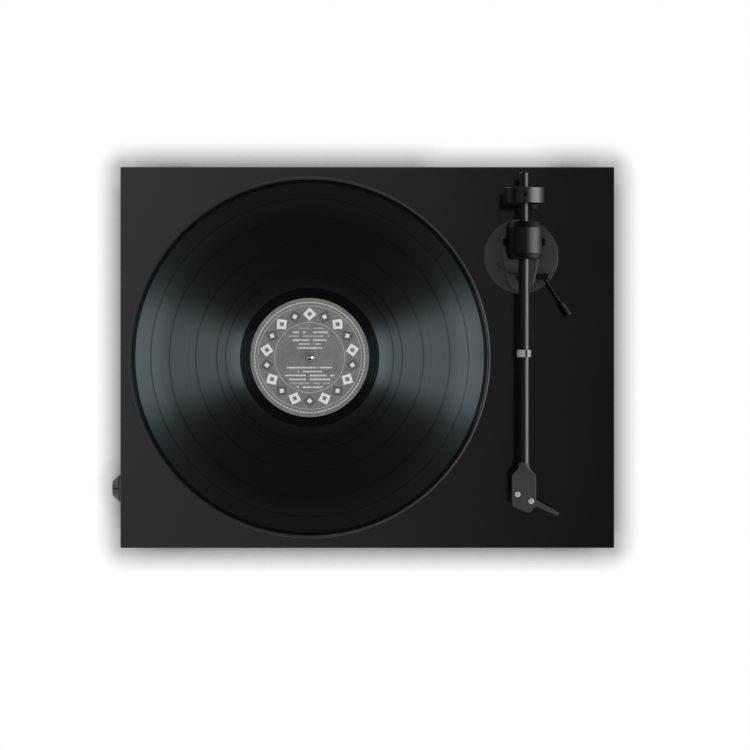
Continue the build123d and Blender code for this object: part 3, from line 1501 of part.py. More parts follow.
pin_row_z = -cartridge_body_height / 2
pin_places = [
    (sx * pin_spacing / 2, pin_row_z + sz * pin_spacing / 2) for sx in (-1, 1) for sz in (-1, 1)
]
tip_depth = shell_bottom_z - record_top_z - stylus_clearance
holder_depth = tip_depth - cartridge_body_height - stylus_drop
with BuildPart() as cartridge_body:
    with BuildSketch(cartridge_plane):
        RectangleRounded(cartridge_width, cartridge_length, cartridge_corner)
    extrude(amount=-cartridge_body_height, taper=cartridge_taper)
    with BuildSketch(cartridge_plane):
        RectangleRounded(cartridge_ear_width, cartridge_ear_length, cartridge_ear_corner)
    extrude(amount=-(ear_screw_depth + cartridge_ear_floor))
    with BuildSketch(cartridge_plane):
        with GridLocations(cartridge_screw_pitch, 0, 2, 1):
            Circle(cartridge_screw_radius + screw_fit)
    extrude(amount=-ear_screw_depth, mode=Mode.SUBTRACT)
    # four terminal pins moulded into the back
    for x, z in pin_places:
        pin_root = cartridge_plane.from_local_coords((x, cartridge_length / 2 - pin_seat, z))
        with BuildSketch(Plane(pin_root, z_dir=cartridge_plane.y_dir)):
            Circle(pin_radius)
        extrude(amount=pin_length + pin_seat)
cartridge_body.part.label = "cartridge_body"
export_step(cartridge_body.part, "parts/cartridge_body.step")

holder_front = -stylus_ahead + stylus_holder_setback
side_plane = Plane(cartridge_plane.origin, x_dir=cartridge_plane.y_dir, z_dir=cartridge_plane.x_dir)
with BuildPart() as stylus_holder:
    # wedge that clips under the body, its nose cut back above the stylus
    with BuildSketch(side_plane):
        with BuildLine():
            Polyline(
                (stylus_holder_back, -cartridge_body_height),
                (holder_front, -cartridge_body_height),
                (holder_front, -cartridge_body_height - holder_depth * stylus_nose_share),
                (holder_front + stylus_nose_length, -cartridge_body_height - holder_depth),
                (stylus_holder_foot_back, -cartridge_body_height - holder_depth),
                close=True,
            )
        make_face()
    extrude(amount=stylus_holder_width / 2, both=True)
stylus_holder.part.label = "stylus_holder"
export_step(stylus_holder.part, "parts/stylus_holder.step")

cantilever_back = holder_front + cantilever_root
with BuildPart() as stylus:
    # cantilever sloping down and forward, with the diamond under its end
    with BuildSketch(side_plane):
        with BuildLine():
            Polyline(
                (cantilever_back, -tip_depth + stylus_drop),
                (-stylus_ahead - cantilever_overhang, -tip_depth + cantilever_tip_rise),
                (-stylus_ahead - cantilever_overhang, -tip_depth + diamond_height),
                (-stylus_ahead - diamond_half_width, -tip_depth + diamond_height),
                (-stylus_ahead, -tip_depth),
                (-stylus_ahead + diamond_half_width, -tip_depth + diamond_height),
                (cantilever_back, -tip_depth + stylus_drop - cantilever_thickness),
                close=True,
            )
        make_face()
    extrude(amount=cantilever_thickness / 2, both=True)
stylus.part.label = "stylus"
export_step(stylus.part, "parts/stylus.step")

with BuildPart() as cartridge_leads:
    for x, z in pin_places:
        pin_end = cartridge_plane.from_local_coords((x, cartridge_length / 2 + pin_length, z))
        bend = cartridge_plane.from_local_coords((x, cartridge_length / 2 + pin_length + lead_straight, z))
        entry_z = shell_bottom_z - lead_entry_drop + z * lead_entry_step
        entry = Vector(pivot_x + x * lead_entry_pitch, cartridge_y + lead_entry_behind, entry_z)
        with BuildLine() as lead_path:
            FilletPolyline(pin_end, bend, entry, radius=lead_bend)
        with BuildSketch(Plane(lead_path.line @ 0, z_dir=lead_path.line % 0)):
            Circle(lead_radius)
        sweep(path=lead_path.line)
cartridge_leads.part.label = "cartridge_leads"
export_step(cartridge_leads.part, "parts/cartridge_leads.step")

# ---------------------------------------------------------------- arm lift
bridge_bottom_z = bridge_top_z - bridge_thickness
bridge_start = -90 + bridge_overlap
bridge_arc = bridge_overlap + bridge_sweep
piston_bottom_z = lever_z + lever_cam_flat + lever_cam_gap
with BuildPart() as lift_cylinder:
    with BuildSketch(Plane.XY.offset(base_body_top_z)):
        with Locations((pivot_x, lift_y)):
            Circle(lift_body_radius)
    extrude(amount=lift_body_height)
    chamfer(lift_cylinder.edges().group_by(Axis.Z)[-1], lift_edge_break)
    with BuildSketch(Plane.XY.offset(base_body_top_z)):
        with Locations((pivot_x, lift_y)):
            Circle(piston_radius + slide_fit)
    extrude(amount=lift_body_height, mode=Mode.SUBTRACT)
lift_cylinder.part.label = "lift_cylinder"
export_step(lift_cylinder.part, "parts/lift_cylinder.step")

with BuildPart() as lift_bridge:
    with BuildSketch(Plane.XY.offset(piston_bottom_z)):
        with Locations((pivot_x, lift_y)):
            Circle(piston_radius)
    extrude(amount=bridge_bottom_z - piston_bottom_z)
    # curved bar round the arm's pivot, so that it meets the tube wherever the arm has swung
    with BuildSketch(Plane((pivot_x, pivot_y, bridge_bottom_z))):
        with BuildLine():
            outer_arc = CenterArc((0, 0), bridge_radius + bridge_width / 2, bridge_start, -bridge_arc)
            inner_arc = CenterArc((0, 0), bridge_radius - bridge_width / 2, bridge_start, -bridge_arc)
            Line(outer_arc @ 0, inner_arc @ 0)
            Line(outer_arc @ 1, inner_arc @ 1)
        make_face()
    extrude(amount=bridge_thickness)
    fillet(lift_bridge.edges().group_by(Axis.Z)[-1], lift_edge_break)
lift_bridge.part.label = "lift_bridge"
export_step(lift_bridge.part, "parts/lift_bridge.step")

hub_x = pivot_x + lever_hub_start
with BuildPart() as lever_shaft:
    with BuildSketch(across(shaft_left_x, lift_y, lever_z)):
        Circle(lever_shaft_radius)
    extrude(amount=hub_x - shaft_left_x)
    with BuildSketch(across(hub_x, lift_y, lever_z)):
        Circle(lever_hub_radius)
    extrude(amount=lever_hub_length)
    chamfer(lever_shaft.edges().group_by(Axis.X)[-1], lever_hub_chamfer)
    # flat under the piston: turning the shaft brings its edge up and raises the piston
    with BuildSketch(Plane.XY.offset(lever_z + lever_cam_flat)):
        with Locations((pivot_x, lift_y)):
            Rectangle(2 * (piston_radius + 2 * slide_fit), 3 * lever_shaft_radius)
    extrude(amount=lever_shaft_radius, mode=Mode.SUBTRACT)
lever_shaft.part.label = "lever_shaft"
export_step(lever_shaft.part, "parts/lever_shaft.step")

lever_direction = (sin(radians(lever_splay)), -cos(radians(lever_splay)), 0)
lever_root = Vector(pivot_x + lever_rod_start, lift_y, lever_z)
with BuildPart() as lever_rod:
    with BuildSketch(Plane(lever_root, z_dir=lever_direction)):
        Circle(lever_rod_radius)
    extrude(amount=lever_rod_length + lever_knob_length / 2)
    with BuildSketch(across(hub_x, lift_y, lever_z)):
        Circle(lever_hub_radius)
    extrude(amount=lever_hub_length, mode=Mode.SUBTRACT)
lever_rod.part.label = "lever_rod"
export_step(lever_rod.part, "parts/lever_rod.step")

knob_root = lever_root + Vector(*lever_direction) * lever_rod_length
with BuildPart() as lever_knob:
    with BuildSketch(Plane(knob_root, z_dir=lever_direction)):
        Circle(lever_knob_radius)
    extrude(amount=lever_knob_length)
    fillet(lever_knob.faces().filter_by(GeomType.PLANE).edges(), lever_knob_round)
    with BuildSketch(Plane(knob_root, z_dir=lever_direction)):
        Circle(lever_rod_radius)
    extrude(amount=lever_knob_length / 2, mode=Mode.SUBTRACT)
lever_knob.part.label = "lever_knob"
export_step(lever_knob.part, "parts/lever_knob.step")
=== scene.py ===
import json
from math import cos, pi, radians, sin

import bmesh
import bpy
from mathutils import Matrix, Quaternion, Vector

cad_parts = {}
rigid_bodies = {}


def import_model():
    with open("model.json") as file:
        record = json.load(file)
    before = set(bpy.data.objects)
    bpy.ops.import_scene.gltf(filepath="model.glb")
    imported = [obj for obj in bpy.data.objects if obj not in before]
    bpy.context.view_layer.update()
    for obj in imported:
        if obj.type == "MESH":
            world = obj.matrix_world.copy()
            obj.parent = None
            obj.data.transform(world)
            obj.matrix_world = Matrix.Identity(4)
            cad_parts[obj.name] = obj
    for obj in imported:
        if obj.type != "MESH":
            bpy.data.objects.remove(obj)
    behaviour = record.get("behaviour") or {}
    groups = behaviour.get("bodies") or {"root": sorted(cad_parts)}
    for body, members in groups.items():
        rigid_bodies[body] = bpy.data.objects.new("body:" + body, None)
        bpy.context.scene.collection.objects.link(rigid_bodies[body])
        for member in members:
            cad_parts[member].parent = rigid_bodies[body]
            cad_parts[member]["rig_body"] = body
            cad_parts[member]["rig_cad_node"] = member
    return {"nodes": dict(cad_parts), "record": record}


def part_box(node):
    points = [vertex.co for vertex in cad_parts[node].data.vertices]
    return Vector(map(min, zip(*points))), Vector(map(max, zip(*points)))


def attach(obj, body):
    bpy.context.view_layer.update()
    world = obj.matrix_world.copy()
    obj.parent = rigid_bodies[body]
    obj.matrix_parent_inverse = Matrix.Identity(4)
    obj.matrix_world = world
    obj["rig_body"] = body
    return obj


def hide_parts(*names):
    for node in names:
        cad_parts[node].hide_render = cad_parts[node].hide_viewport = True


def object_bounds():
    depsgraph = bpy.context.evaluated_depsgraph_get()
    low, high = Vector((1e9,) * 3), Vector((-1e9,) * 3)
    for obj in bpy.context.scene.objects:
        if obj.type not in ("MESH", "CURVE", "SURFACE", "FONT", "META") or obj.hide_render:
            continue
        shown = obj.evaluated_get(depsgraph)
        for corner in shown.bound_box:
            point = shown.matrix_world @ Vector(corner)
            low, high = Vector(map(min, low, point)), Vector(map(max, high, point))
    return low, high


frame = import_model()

cad_low, cad_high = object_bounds()
nodes = frame["nodes"]
mm = 0.001


# ---------------------------------------------------------------- bench work
def begin(name, primitive, **size):
    """Adds a primitive at its size and place, and stays in edit mode with all of it selected."""
    bpy.ops.object.select_all(action="DESELECT")
    primitive(enter_editmode=True, **size)
    piece = bpy.context.object
    piece.name = piece.data.name = name
    bpy.ops.mesh.select_mode(type="VERT")
    return piece


def close_up(piece, ends=True):
    """Merges, caps and leaves edit mode, with the place of the piece kept in its mesh."""
    bpy.ops.mesh.select_all(action="SELECT")
    bpy.ops.mesh.remove_doubles(threshold=1e-6)
    if ends:
        bpy.ops.mesh.fill_holes(sides=0)
    bpy.ops.mesh.normals_make_consistent(inside=False)
    bpy.ops.object.mode_set(mode="OBJECT")
    bpy.ops.object.transform_apply(location=True, rotation=True, scale=True)
    return piece


def turn(name, middle, axis, outline, segments=96, ring=False):
    """Turns a piece from its outline: (distance along the axis, radius) of each edge in turn."""
    middle, axis = Vector(middle), Vector(axis).normalized()
    along, radius = outline[0]
    piece = begin(
        name,
        bpy.ops.mesh.primitive_circle_add,
        vertices=segments,
        radius=radius,
        fill_type="NOTHING",
        location=middle + axis * along,
        rotation=axis.to_track_quat("Z", "Y").to_euler(),
    )
    for next_along, next_radius in outline[1:]:
        bpy.ops.mesh.extrude_region_move(
            TRANSFORM_OT_translate={"value": tuple(axis * (next_along - along))}
        )
        if next_radius != radius:
            bpy.ops.transform.resize(
                value=(next_radius / radius,) * 3, center_override=tuple(middle + axis * next_along)
            )
        along, radius = next_along, next_radius
    return close_up(piece, ends=not ring)


def flared(name, place, forward, stations, segments=32):
    """Draws a bar out forwards. Each station is how far along it is, its left, right, foot and top,
    and how round its long edges are."""
    place, forward, up = Vector(place), Vector(forward).normalized(), Vector((0, 0, 1))
    side = up.cross(forward)
    along, *_, edge = stations[0]
    turned = forward.to_track_quat("Z", "Y") @ Quaternion((0, 0, 1), pi / segments)
    piece = begin(
        name,
        bpy.ops.mesh.primitive_circle_add,
        vertices=segments,
        radius=edge,
        fill_type="NOTHING",
        location=place + forward * along,
        rotation=turned.to_euler(),
    )
    bpy.context.view_layer.update()
    drawn = (along, -edge, edge, -edge, edge, edge)
    for station in stations:
        if station[0] != drawn[0]:
            bpy.ops.mesh.extrude_region_move(
                TRANSFORM_OT_translate={"value": tuple(forward * (station[0] - drawn[0]))}
            )
            drawn = (station[0], *drawn[1:])
        mesh = bmesh.from_edit_mesh(piece.data)
        mesh.verts.ensure_lookup_table()
        middle = place + side * (drawn[1] + drawn[2]) / 2 + up * (drawn[3] + drawn[4]) / 2
        ring = [v.index for v in mesh.verts if v.select]
        for across, upward in ((1, 1), (1, -1), (-1, 1), (-1, -1)):
            centres = []
            for _, left, right, foot, top, edge in (drawn, station):
                level = top - edge if upward > 0 else foot + edge
                reach = right - edge if across > 0 else left + edge
                centres.append(place + forward * station[0] + side * reach + up * level)
            mesh.verts.ensure_lookup_table()
            chosen = []
            for index in ring:
                spot = piece.matrix_world @ mesh.verts[index].co - middle
                if spot.dot(side) * across > 0 and spot.dot(up) * upward > 0:
                    chosen.append(index)
            for vert in mesh.verts:
                vert.select_set(vert.index in chosen)
            bmesh.update_edit_mesh(piece.data)
            grow = station[5] / drawn[5]
            bpy.ops.transform.resize(value=(grow, grow, grow), center_override=tuple(centres[0]))
            bpy.ops.transform.translate(value=tuple(centres[1] - centres[0]))
            ring = [index for index in ring if index not in chosen]
            placed = chosen if (across, upward) == (1, 1) else placed + chosen
        mesh = bmesh.from_edit_mesh(piece.data)
        for vert in mesh.verts:
            vert.select_set(vert.index in placed)
        mesh.select_flush(True)
        bmesh.update_edit_mesh(piece.data)
        drawn = station
    return close_up(piece)


def only(piece):
    """Selects this piece alone."""
    bpy.ops.object.select_all(action="DESELECT")
    piece.select_set(True)
    bpy.context.view_layer.objects.active = piece
    return piece


def break_edges(piece, width, steps=2, angle=30):
    """Breaks the sharp edges, then shades rounds as rounds and flats as flats."""
    only(piece)
    if width:
        edge = piece.modifiers.new("edge", "BEVEL")
        edge.width, edge.segments = width, steps
        edge.limit_method, edge.angle_limit = "ANGLE", radians(angle)
        bpy.ops.object.modifier_apply(modifier=edge.name)
    bpy.ops.object.shade_smooth_by_angle(angle=radians(40))
    shading = piece.modifiers.new("shading", "WEIGHTED_NORMAL")
    shading.keep_sharp = True
    bpy.ops.object.modifier_apply(modifier=shading.name)
    return piece


def machined(node, width, steps, angle):
    """A merged copy of a node with its edges broken."""
    only(nodes[node])
    bpy.ops.object.duplicate(linked=False)
    piece = bpy.context.object
    piece.parent = None
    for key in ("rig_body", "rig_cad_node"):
        del piece[key]
    piece.name = piece.data.name = node + "_finished"
    bpy.ops.mesh.customdata_custom_splitnormals_clear()
    bpy.ops.object.mode_set(mode="EDIT")
    bpy.ops.mesh.select_all(action="SELECT")
    bpy.ops.mesh.remove_doubles(threshold=2e-6)
    bpy.ops.mesh.dissolve_limited(angle_limit=radians(0.5))
    bpy.ops.mesh.normals_make_consistent(inside=False)
    bpy.ops.object.mode_set(mode="OBJECT")
    return break_edges(piece, width, steps, angle)


def join(name, *pieces):
    """Joins pieces into the first of them, under a new name."""
    bpy.ops.object.select_all(action="DESELECT")
    for piece in pieces:
        piece.select_set(True)
    bpy.context.view_layer.objects.active = pieces[0]
    bpy.ops.object.join()
    pieces[0].name = pieces[0].data.name = name
    return pieces[0]


def cut(piece, tool):
    """Cuts the tool's shape out of the piece."""
    only(piece)
    bore = piece.modifiers.new("bore", "BOOLEAN")
    bore.operation, bore.object, bore.solver = "DIFFERENCE", tool, "EXACT"
    bpy.ops.object.modifier_apply(modifier=bore.name)
    bpy.data.objects.remove(tool)
    return piece


def middle_of(node):
    """The middle of a node's box."""
    low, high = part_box(node)
    return (low + high) / 2


def span(node, letter):
    """How long a node is along x, y or z."""
    low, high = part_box(node)
    return getattr(high, letter) - getattr(low, letter)


# ---------------------------------------------------------------- paint shop
def paint(red, green, blue):
    """A colour, on the usual 0 to 255 scale."""
    values = [c / 255 for c in (red, green, blue)]
    return [c / 12.92 if c <= 0.04045 else ((c + 0.055) / 1.055) ** 2.4 for c in values] + [1.0]


class Wire:
    """One output of a node, so that sums on it read as sums."""

    def __init__(self, wiring, socket):
        self.wiring, self.socket = wiring, socket

    def math(self, operation, *others, reflected=False):
        """A Math node of this and then the others, or of the others and then this."""
        values = (*others, self) if reflected else (self, *others)
        return self.wiring.node("ShaderNodeMath", {"operation": operation}, values)

    def __add__(self, other):
        return self.math("ADD", other)

    def __radd__(self, other):
        return self.math("ADD", other, reflected=True)

    def __sub__(self, other):
        return self.math("SUBTRACT", other)

    def __rsub__(self, other):
        return self.math("SUBTRACT", other, reflected=True)

    def __mul__(self, other):
        return self.math("MULTIPLY", other)

    def __rmul__(self, other):
        return self.math("MULTIPLY", other, reflected=True)

    def __truediv__(self, other):
        return self.math("DIVIDE", other)

    def __rtruediv__(self, other):
        return self.math("DIVIDE", other, reflected=True)

    def ramp(self, start, end):
        """0 below start and 1 above end, with a soft step between them."""
        settings = {"interpolation_type": "SMOOTHSTEP"}
        return self.wiring.node("ShaderNodeMapRange", settings, {0: self, 1: start, 2: end})

    def band(self, start, end, soft):
        """1 between start and end, with a soft step outside each."""
        return self.ramp(start - soft, start) * (1 - self.ramp(end, end + soft))

    def repeats(self, pitch):
        """How far through each pitch this is, from 0 to 1."""
        return (self / pitch).math("FRACT")


class Wiring:
    """The nodes of a finish or of the room, and the wires between them."""

    def __init__(self, owner):
        owner.use_nodes = True
        self.tree = owner.node_tree

    def feed(self, socket, value):
        if isinstance(value, Wire):
            self.tree.links.new(value.socket, socket)
        else:
            socket.default_value = value

    def node(self, kind, settings=None, inputs=(), out=0):
        """Any node: its type, settings, and input values or wires."""
        node = self.tree.nodes.new(kind)
        for key, value in (settings or {}).items():
            setattr(node, key, value)
        for key, value in inputs.items() if isinstance(inputs, dict) else enumerate(inputs):
            self.feed(node.inputs[key], value)
        return Wire(self, node.outputs[out])

    def axis(self, place, letter):
        """How far along X, Y or Z a place is."""
        return self.node("ShaderNodeSeparateXYZ", None, [place], "XYZ".index(letter))

    def ray(self, *kinds):
        """1 for rays of these kinds."""
        found = [self.node("ShaderNodeLightPath", out=f"Is {kind} Ray") for kind in kinds]
        return sum(found[1:], found[0])


class Finish(Wiring):
    """A paint, plating or raw surface, worked out from where it is on the object."""

    def __init__(self, name, colour, roughness, metallic=0.0, **constants):
        """The constants are other sockets of the shader, with _ for each space in their names."""
        self.material = bpy.data.materials.new(name)
        super().__init__(self.material)
        self.shader = self.tree.nodes["Principled BSDF"]
        self.set("Base Color", colour)
        self.set("Roughness", roughness)
        self.set("Metallic", metallic)
        for key, value in constants.items():
            self.set(key.replace("_", " ").title().replace("Ior", "IOR"), value)

    def set(self, name, value):
        self.feed(self.shader.inputs[name], value)
        return self

    def place(self, middle=(0, 0, 0), scale=(1, 1, 1)):
        """Where on the object this is, from a middle of its own."""
        spot = self.node("ShaderNodeTexCoord", out="Object")
        shift = [-m * s for m, s in zip(middle, scale)]
        inputs = {"Vector": spot, "Location": shift, "Scale": scale}
        return self.node("ShaderNodeMapping", None, inputs)

    def reach(self, place):
        """How far out a place is from the middle."""
        return self.node("ShaderNodeVectorMath", {"operation": "LENGTH"}, [place], "Value")

    def noise(self, size, detail=2.0, place=None, rough=0.5):
        """Cloudy variation with patches about that size."""
        place = place or self.place()
        inputs = {"Vector": place, "Scale": 1 / size, "Detail": detail, "Roughness": rough}
        return self.node("ShaderNodeTexNoise", None, inputs)

    def cells(self, size):
        """How far this is from the nearest of many scattered specks."""
        return self.node("ShaderNodeTexVoronoi", None, {"Vector": self.place(), "Scale": 1 / size})

    def tint(self, amount, first, second):
        """The first colour, turned towards the second by an amount."""
        settings = {"data_type": "RGBA"}
        return self.node("ShaderNodeMix", settings, {0: amount, 6: first, 7: second}, 2)

    def relief(self, height, depth):
        """Raises the surface by height times depth."""
        inputs = {"Height": height, "Distance": depth, "Strength": 1.0}
        return self.set("Normal", self.node("ShaderNodeBump", None, inputs))


def sprayed(name, colour, worn, roughness, spread, peel, depth, shine):
    """Sprayed or moulded skin: a little orange peel, fine grain and uneven gloss."""
    finish = Finish(name, colour, roughness, specular_ior_level=shine)
    clouds = finish.noise(22 * mm, 4.0)
    grain = finish.noise(0.22 * mm, 2.0)
    finish.set("Base Color", finish.tint(clouds * 0.6 + grain * 0.4, colour, worn))
    finish.set("Roughness", roughness + (clouds - 0.5) * spread + (grain - 0.5) * spread)
    skin = finish.noise(peel, 1.0) * 0.7 + grain * 0.3
    return finish.relief(skin, depth)


def plinth_lacquer():
    """Polished black lacquer with a trace of orange peel, hairline rubbing and settled dust."""
    finish = Finish("plinth_lacquer", paint(9, 9, 9), 0.1, specular_ior_level=0.5)
    clouds = finish.noise(60 * mm, 5.0)
    grain = finish.noise(0.35 * mm, 2.0)
    dust = finish.cells(9 * mm).ramp(0.035, 0.02) * finish.noise(18 * mm).ramp(0.55, 0.7)
    base = finish.tint(clouds.ramp(0.3, 0.7), paint(8, 8, 8), paint(11, 11, 11))
    finish.set("Base Color", finish.tint(dust * 0.2, base, paint(60, 60, 58)))
    finish.set("Roughness", 0.085 + clouds.ramp(0.35, 0.75) * 0.035 + grain * 0.02 + dust * 0.3)
    return finish.relief(finish.noise(2.6 * mm, 1.0), 0.0012 * mm)


def brushed_round(name, colour, worn, roughness, middle=(0, 0, 0), axis="Z", metallic=1.0):
    """Metal turned on a lathe: fine rings about its axis, with uneven gloss."""
    finish = Finish(name, colour, roughness, metallic)
    flat = [0.0 if letter == axis else 1.0 for letter in "XYZ"]
    radius = finish.reach(finish.place(middle, flat))
    along = finish.axis(finish.place(), axis)
    line = finish.node("ShaderNodeCombineXYZ", None, [radius, along, 0.0])
    rings = finish.noise(0.12 * mm, 3.0, line, 0.7)
    clouds = finish.noise(9 * mm, 3.0)
    finish.set("Base Color", finish.tint(rings * 0.5 + clouds * 0.5, colour, worn))
    finish.set("Roughness", roughness + (rings - 0.5) * 0.16 + (clouds - 0.5) * 0.08)
    return finish.relief(rings, 0.004 * mm)


record_middle = middle_of("vinyl_record")
# The radius of each smooth gap between two tracks, in millimetres.
track_gaps = [70.6, 78.0, 95.8, 118.0, 133.6]


def vinyl():
    """Pressed vinyl: fine grooves that scatter light outwards, smooth gaps, dead wax and bead."""
    finish = Finish(
        "vinyl",
        paint(8, 10, 10),
        0.5,
        anisotropic=1.0,
        anisotropic_rotation=0.25,
        specular_ior_level=1.0,
        specular_tint=(0.73, 0.93, 1.0, 1.0),
    )
    radius = finish.reach(finish.place(record_middle, (1, 1, 0)))
    line = finish.node("ShaderNodeCombineXYZ", None, [radius, 0.0, 0.0])
    passages = finish.noise(2.2 * mm, 4.0, line, 0.65)
    grooves = finish.noise(0.1 * mm, 1.0, line)
    pressed = radius.band(58.9 * mm, 146.3 * mm, 0.5 * mm)
    loud = 0.62 + 0.36 * radius.ramp(70 * mm, 60 * mm) + 0.36 * radius.ramp(117 * mm, 133 * mm)
    for gap in track_gaps:
        smooth = radius.band((gap - 0.35) * mm, (gap + 0.35) * mm, 0.4 * mm)
        pressed = pressed * (1 - 0.6 * smooth)
    cut_in = pressed * (loud + (passages - 0.5) * 0.3)
    spiral = radius.band(54.4 * mm, 54.7 * mm, 0.15 * mm)
    spiral = spiral + radius.band(56.9 * mm, 57.1 * mm, 0.15 * mm)
    finish.set("Metallic", (0.85 - cut_in * 0.85).math("MAXIMUM", 0.0))
    uneven = (finish.noise(5 * mm) - 0.5) * 0.02
    finish.set("Roughness", 0.22 + pressed * 0.27 + spiral * 0.12 + uneven)
    finish.set("Base Color", finish.tint(cut_in, paint(8, 10, 10), paint(9, 12, 12)))
    return finish.relief(grooves * pressed, 0.003 * mm)


def label_paper():
    """Grey label paper, printed with a row of lozenges, lines of dashes and a broken ring."""
    finish = Finish("label_paper", paint(130, 131, 126), 0.62, specular_ior_level=0.08)
    flat = finish.place(record_middle, (1, 1, 0))
    radius = finish.reach(flat)
    across, along = finish.axis(flat, "X"), finish.axis(flat, "Y")
    bearing = along.math("ARCTAN2", across) / (2 * pi) + 0.5
    fibre = finish.noise(0.5 * mm, 3.0)
    mottle = finish.noise(7 * mm, 5.0, None, 0.65)

    def chance(*seeds):
        """A number from 0 to 1 that stays the same for the same seeds."""
        seed = sum(seeds[1:], seeds[0])
        return finish.node("ShaderNodeTexWhiteNoise", {"noise_dimensions": "1D"}, {"W": seed})

    middle_ring = 36.5 * mm
    count = 18
    lean = bearing.repeats(1 / count) - 0.5
    lozenge = lean.math("ABSOLUTE") * (2 * pi * middle_ring / count)
    lozenge = lozenge + (radius - middle_ring).math("ABSOLUTE")
    outer = lozenge.ramp(5.7 * mm, 5.5 * mm)
    inner = lozenge.ramp(2.5 * mm, 2.3 * mm)
    light = bearing.repeats(2 / count).ramp(0.499, 0.501)
    rules = radius.band(29.3 * mm, 29.6 * mm, 0.12 * mm)
    rules = rules + radius.band(43.4 * mm, 43.7 * mm, 0.12 * mm)

    row_pitch = 3.3 * mm
    row = (along / row_pitch).math("FLOOR")
    word_pitch = 2.9 * mm
    word = (across / word_pitch).math("FLOOR")
    row_place = finish.node("ShaderNodeCombineXYZ", None, [across, row, 0.0])
    strokes = finish.noise(0.55 * mm, 1.0, row_place)
    spaces = across.repeats(word_pitch).ramp(0.94, 0.86)
    words = spaces * chance(word, row * 37.0).ramp(0.1, 0.14)
    words = words * (0.55 + 0.45 * strokes.ramp(0.4, 0.6))
    length = 9 * mm + chance(row, row * 5.0) * (13 * mm)
    length = (length - across.math("ABSOLUTE")).ramp(0.0, 0.2 * mm)
    length = length * radius.ramp(27.4 * mm, 27.2 * mm)
    lines = along.repeats(row_pitch).band(0.26, 0.6, 0.08) * words * length
    lines = lines * along.math("ABSOLUTE").ramp(6.5 * mm, 6.7 * mm)
    strong = chance(row, 11.0).ramp(0.45, 0.5)
    lines = lines * (0.45 + 0.5 * strong)
    dashes = bearing.repeats(1 / 96).band(0.1, 0.86, 0.04)
    ring = radius.band(46.0 * mm, 46.6 * mm, 0.15 * mm) * dashes

    wear = 0.55 + 0.45 * fibre.ramp(0.3, 0.5)
    paper = finish.tint(mottle.ramp(0.3, 0.7), paint(113, 114, 109), paint(131, 132, 127))
    paper = finish.tint(fibre * 0.35, paper, paint(104, 105, 101))
    print_on = paper
    for amount, ink in (
        (outer * light, paint(232, 232, 226)),
        (outer * (1 - light), paint(92, 93, 90)),
        (inner * light, paint(112, 113, 109)),
        (inner * (1 - light), paint(228, 228, 222)),
        (rules * 0.7, paint(205, 205, 199)),
        (lines, paint(232, 232, 226)),
        (ring * 0.85, paint(222, 222, 216)),
    ):
        print_on = finish.tint(amount * wear, print_on, ink)
    finish.set("Base Color", print_on)
    finish.set("Roughness", 0.55 + fibre * 0.15)
    press = radius.band(15.6 * mm, 16.6 * mm, 0.5 * mm)
    return finish.relief(fibre * 0.08 - press, 0.05 * mm)


def two_colours(name, place, left, right):
    """Moulded plastic in one colour to the left of a place and another to the right of it."""
    finish = Finish(name, left, 0.45)
    side = finish.axis(finish.place(), "X").ramp(place - 0.1 * mm, place + 0.1 * mm)
    grain = finish.noise(0.4 * mm, 2.0)
    colour = finish.tint(side, left, right)
    return finish.set("Base Color", finish.tint(grain * 0.15, colour, paint(120, 118, 112)))


# ---------------------------------------------------------------- finishes
pivot = middle_of("bearing_barrel")
finishes = {
    "plinth_lacquer": plinth_lacquer(),
    "vinyl": vinyl(),
    "label_paper": label_paper(),
}
# Sprayed or moulded skins: colour, worn colour, roughness and its spread, the size and depth of the
# orange peel in millimetres, and the strength of the shine.
for name, colour, worn, roughness, spread, peel, depth, shine in (
    ("black_sheet", (22, 22, 22), (30, 30, 29), 0.5, 0.1, 0.9, 0.012, 0.5),
    ("black_moulding", (18, 18, 19), (25, 25, 25), 0.42, 0.1, 0.6, 0.012, 0.35),
    ("rubber", (24, 24, 24), (40, 39, 37), 0.8, 0.14, 0.8, 0.03, 0.5),
    ("grey_satin", (56, 56, 57), (61, 61, 62), 0.5, 0.06, 0.5, 0.006, 0.12),
    ("knob_satin", (68, 68, 69), (76, 76, 77), 0.5, 0.08, 0.5, 0.006, 0.3),
    ("black_satin_metal", (4, 4, 5), (7, 7, 7), 0.36, 0.05, 0.7, 0.004, 0.25),
    ("barrel_satin", (3, 3, 4), (6, 6, 6), 0.42, 0.05, 0.7, 0.004, 0.2),
    ("weight_steel", (4, 4, 5), (7, 7, 7), 0.38, 0.05, 0.8, 0.004, 0.32),
    ("dark_casting", (34, 34, 35), (46, 46, 46), 0.5, 0.12, 0.8, 0.03, 0.5),
    ("stylus_moulding", (30, 30, 32), (38, 38, 40), 0.35, 0.08, 0.6, 0.012, 0.5),
    ("board_green", (20, 74, 44), (30, 92, 56), 0.4, 0.1, 1.0, 0.012, 0.5),
):
    finishes[name] = sprayed(
        name, paint(*colour), paint(*worn), roughness, spread, peel * mm, depth * mm, shine
    )
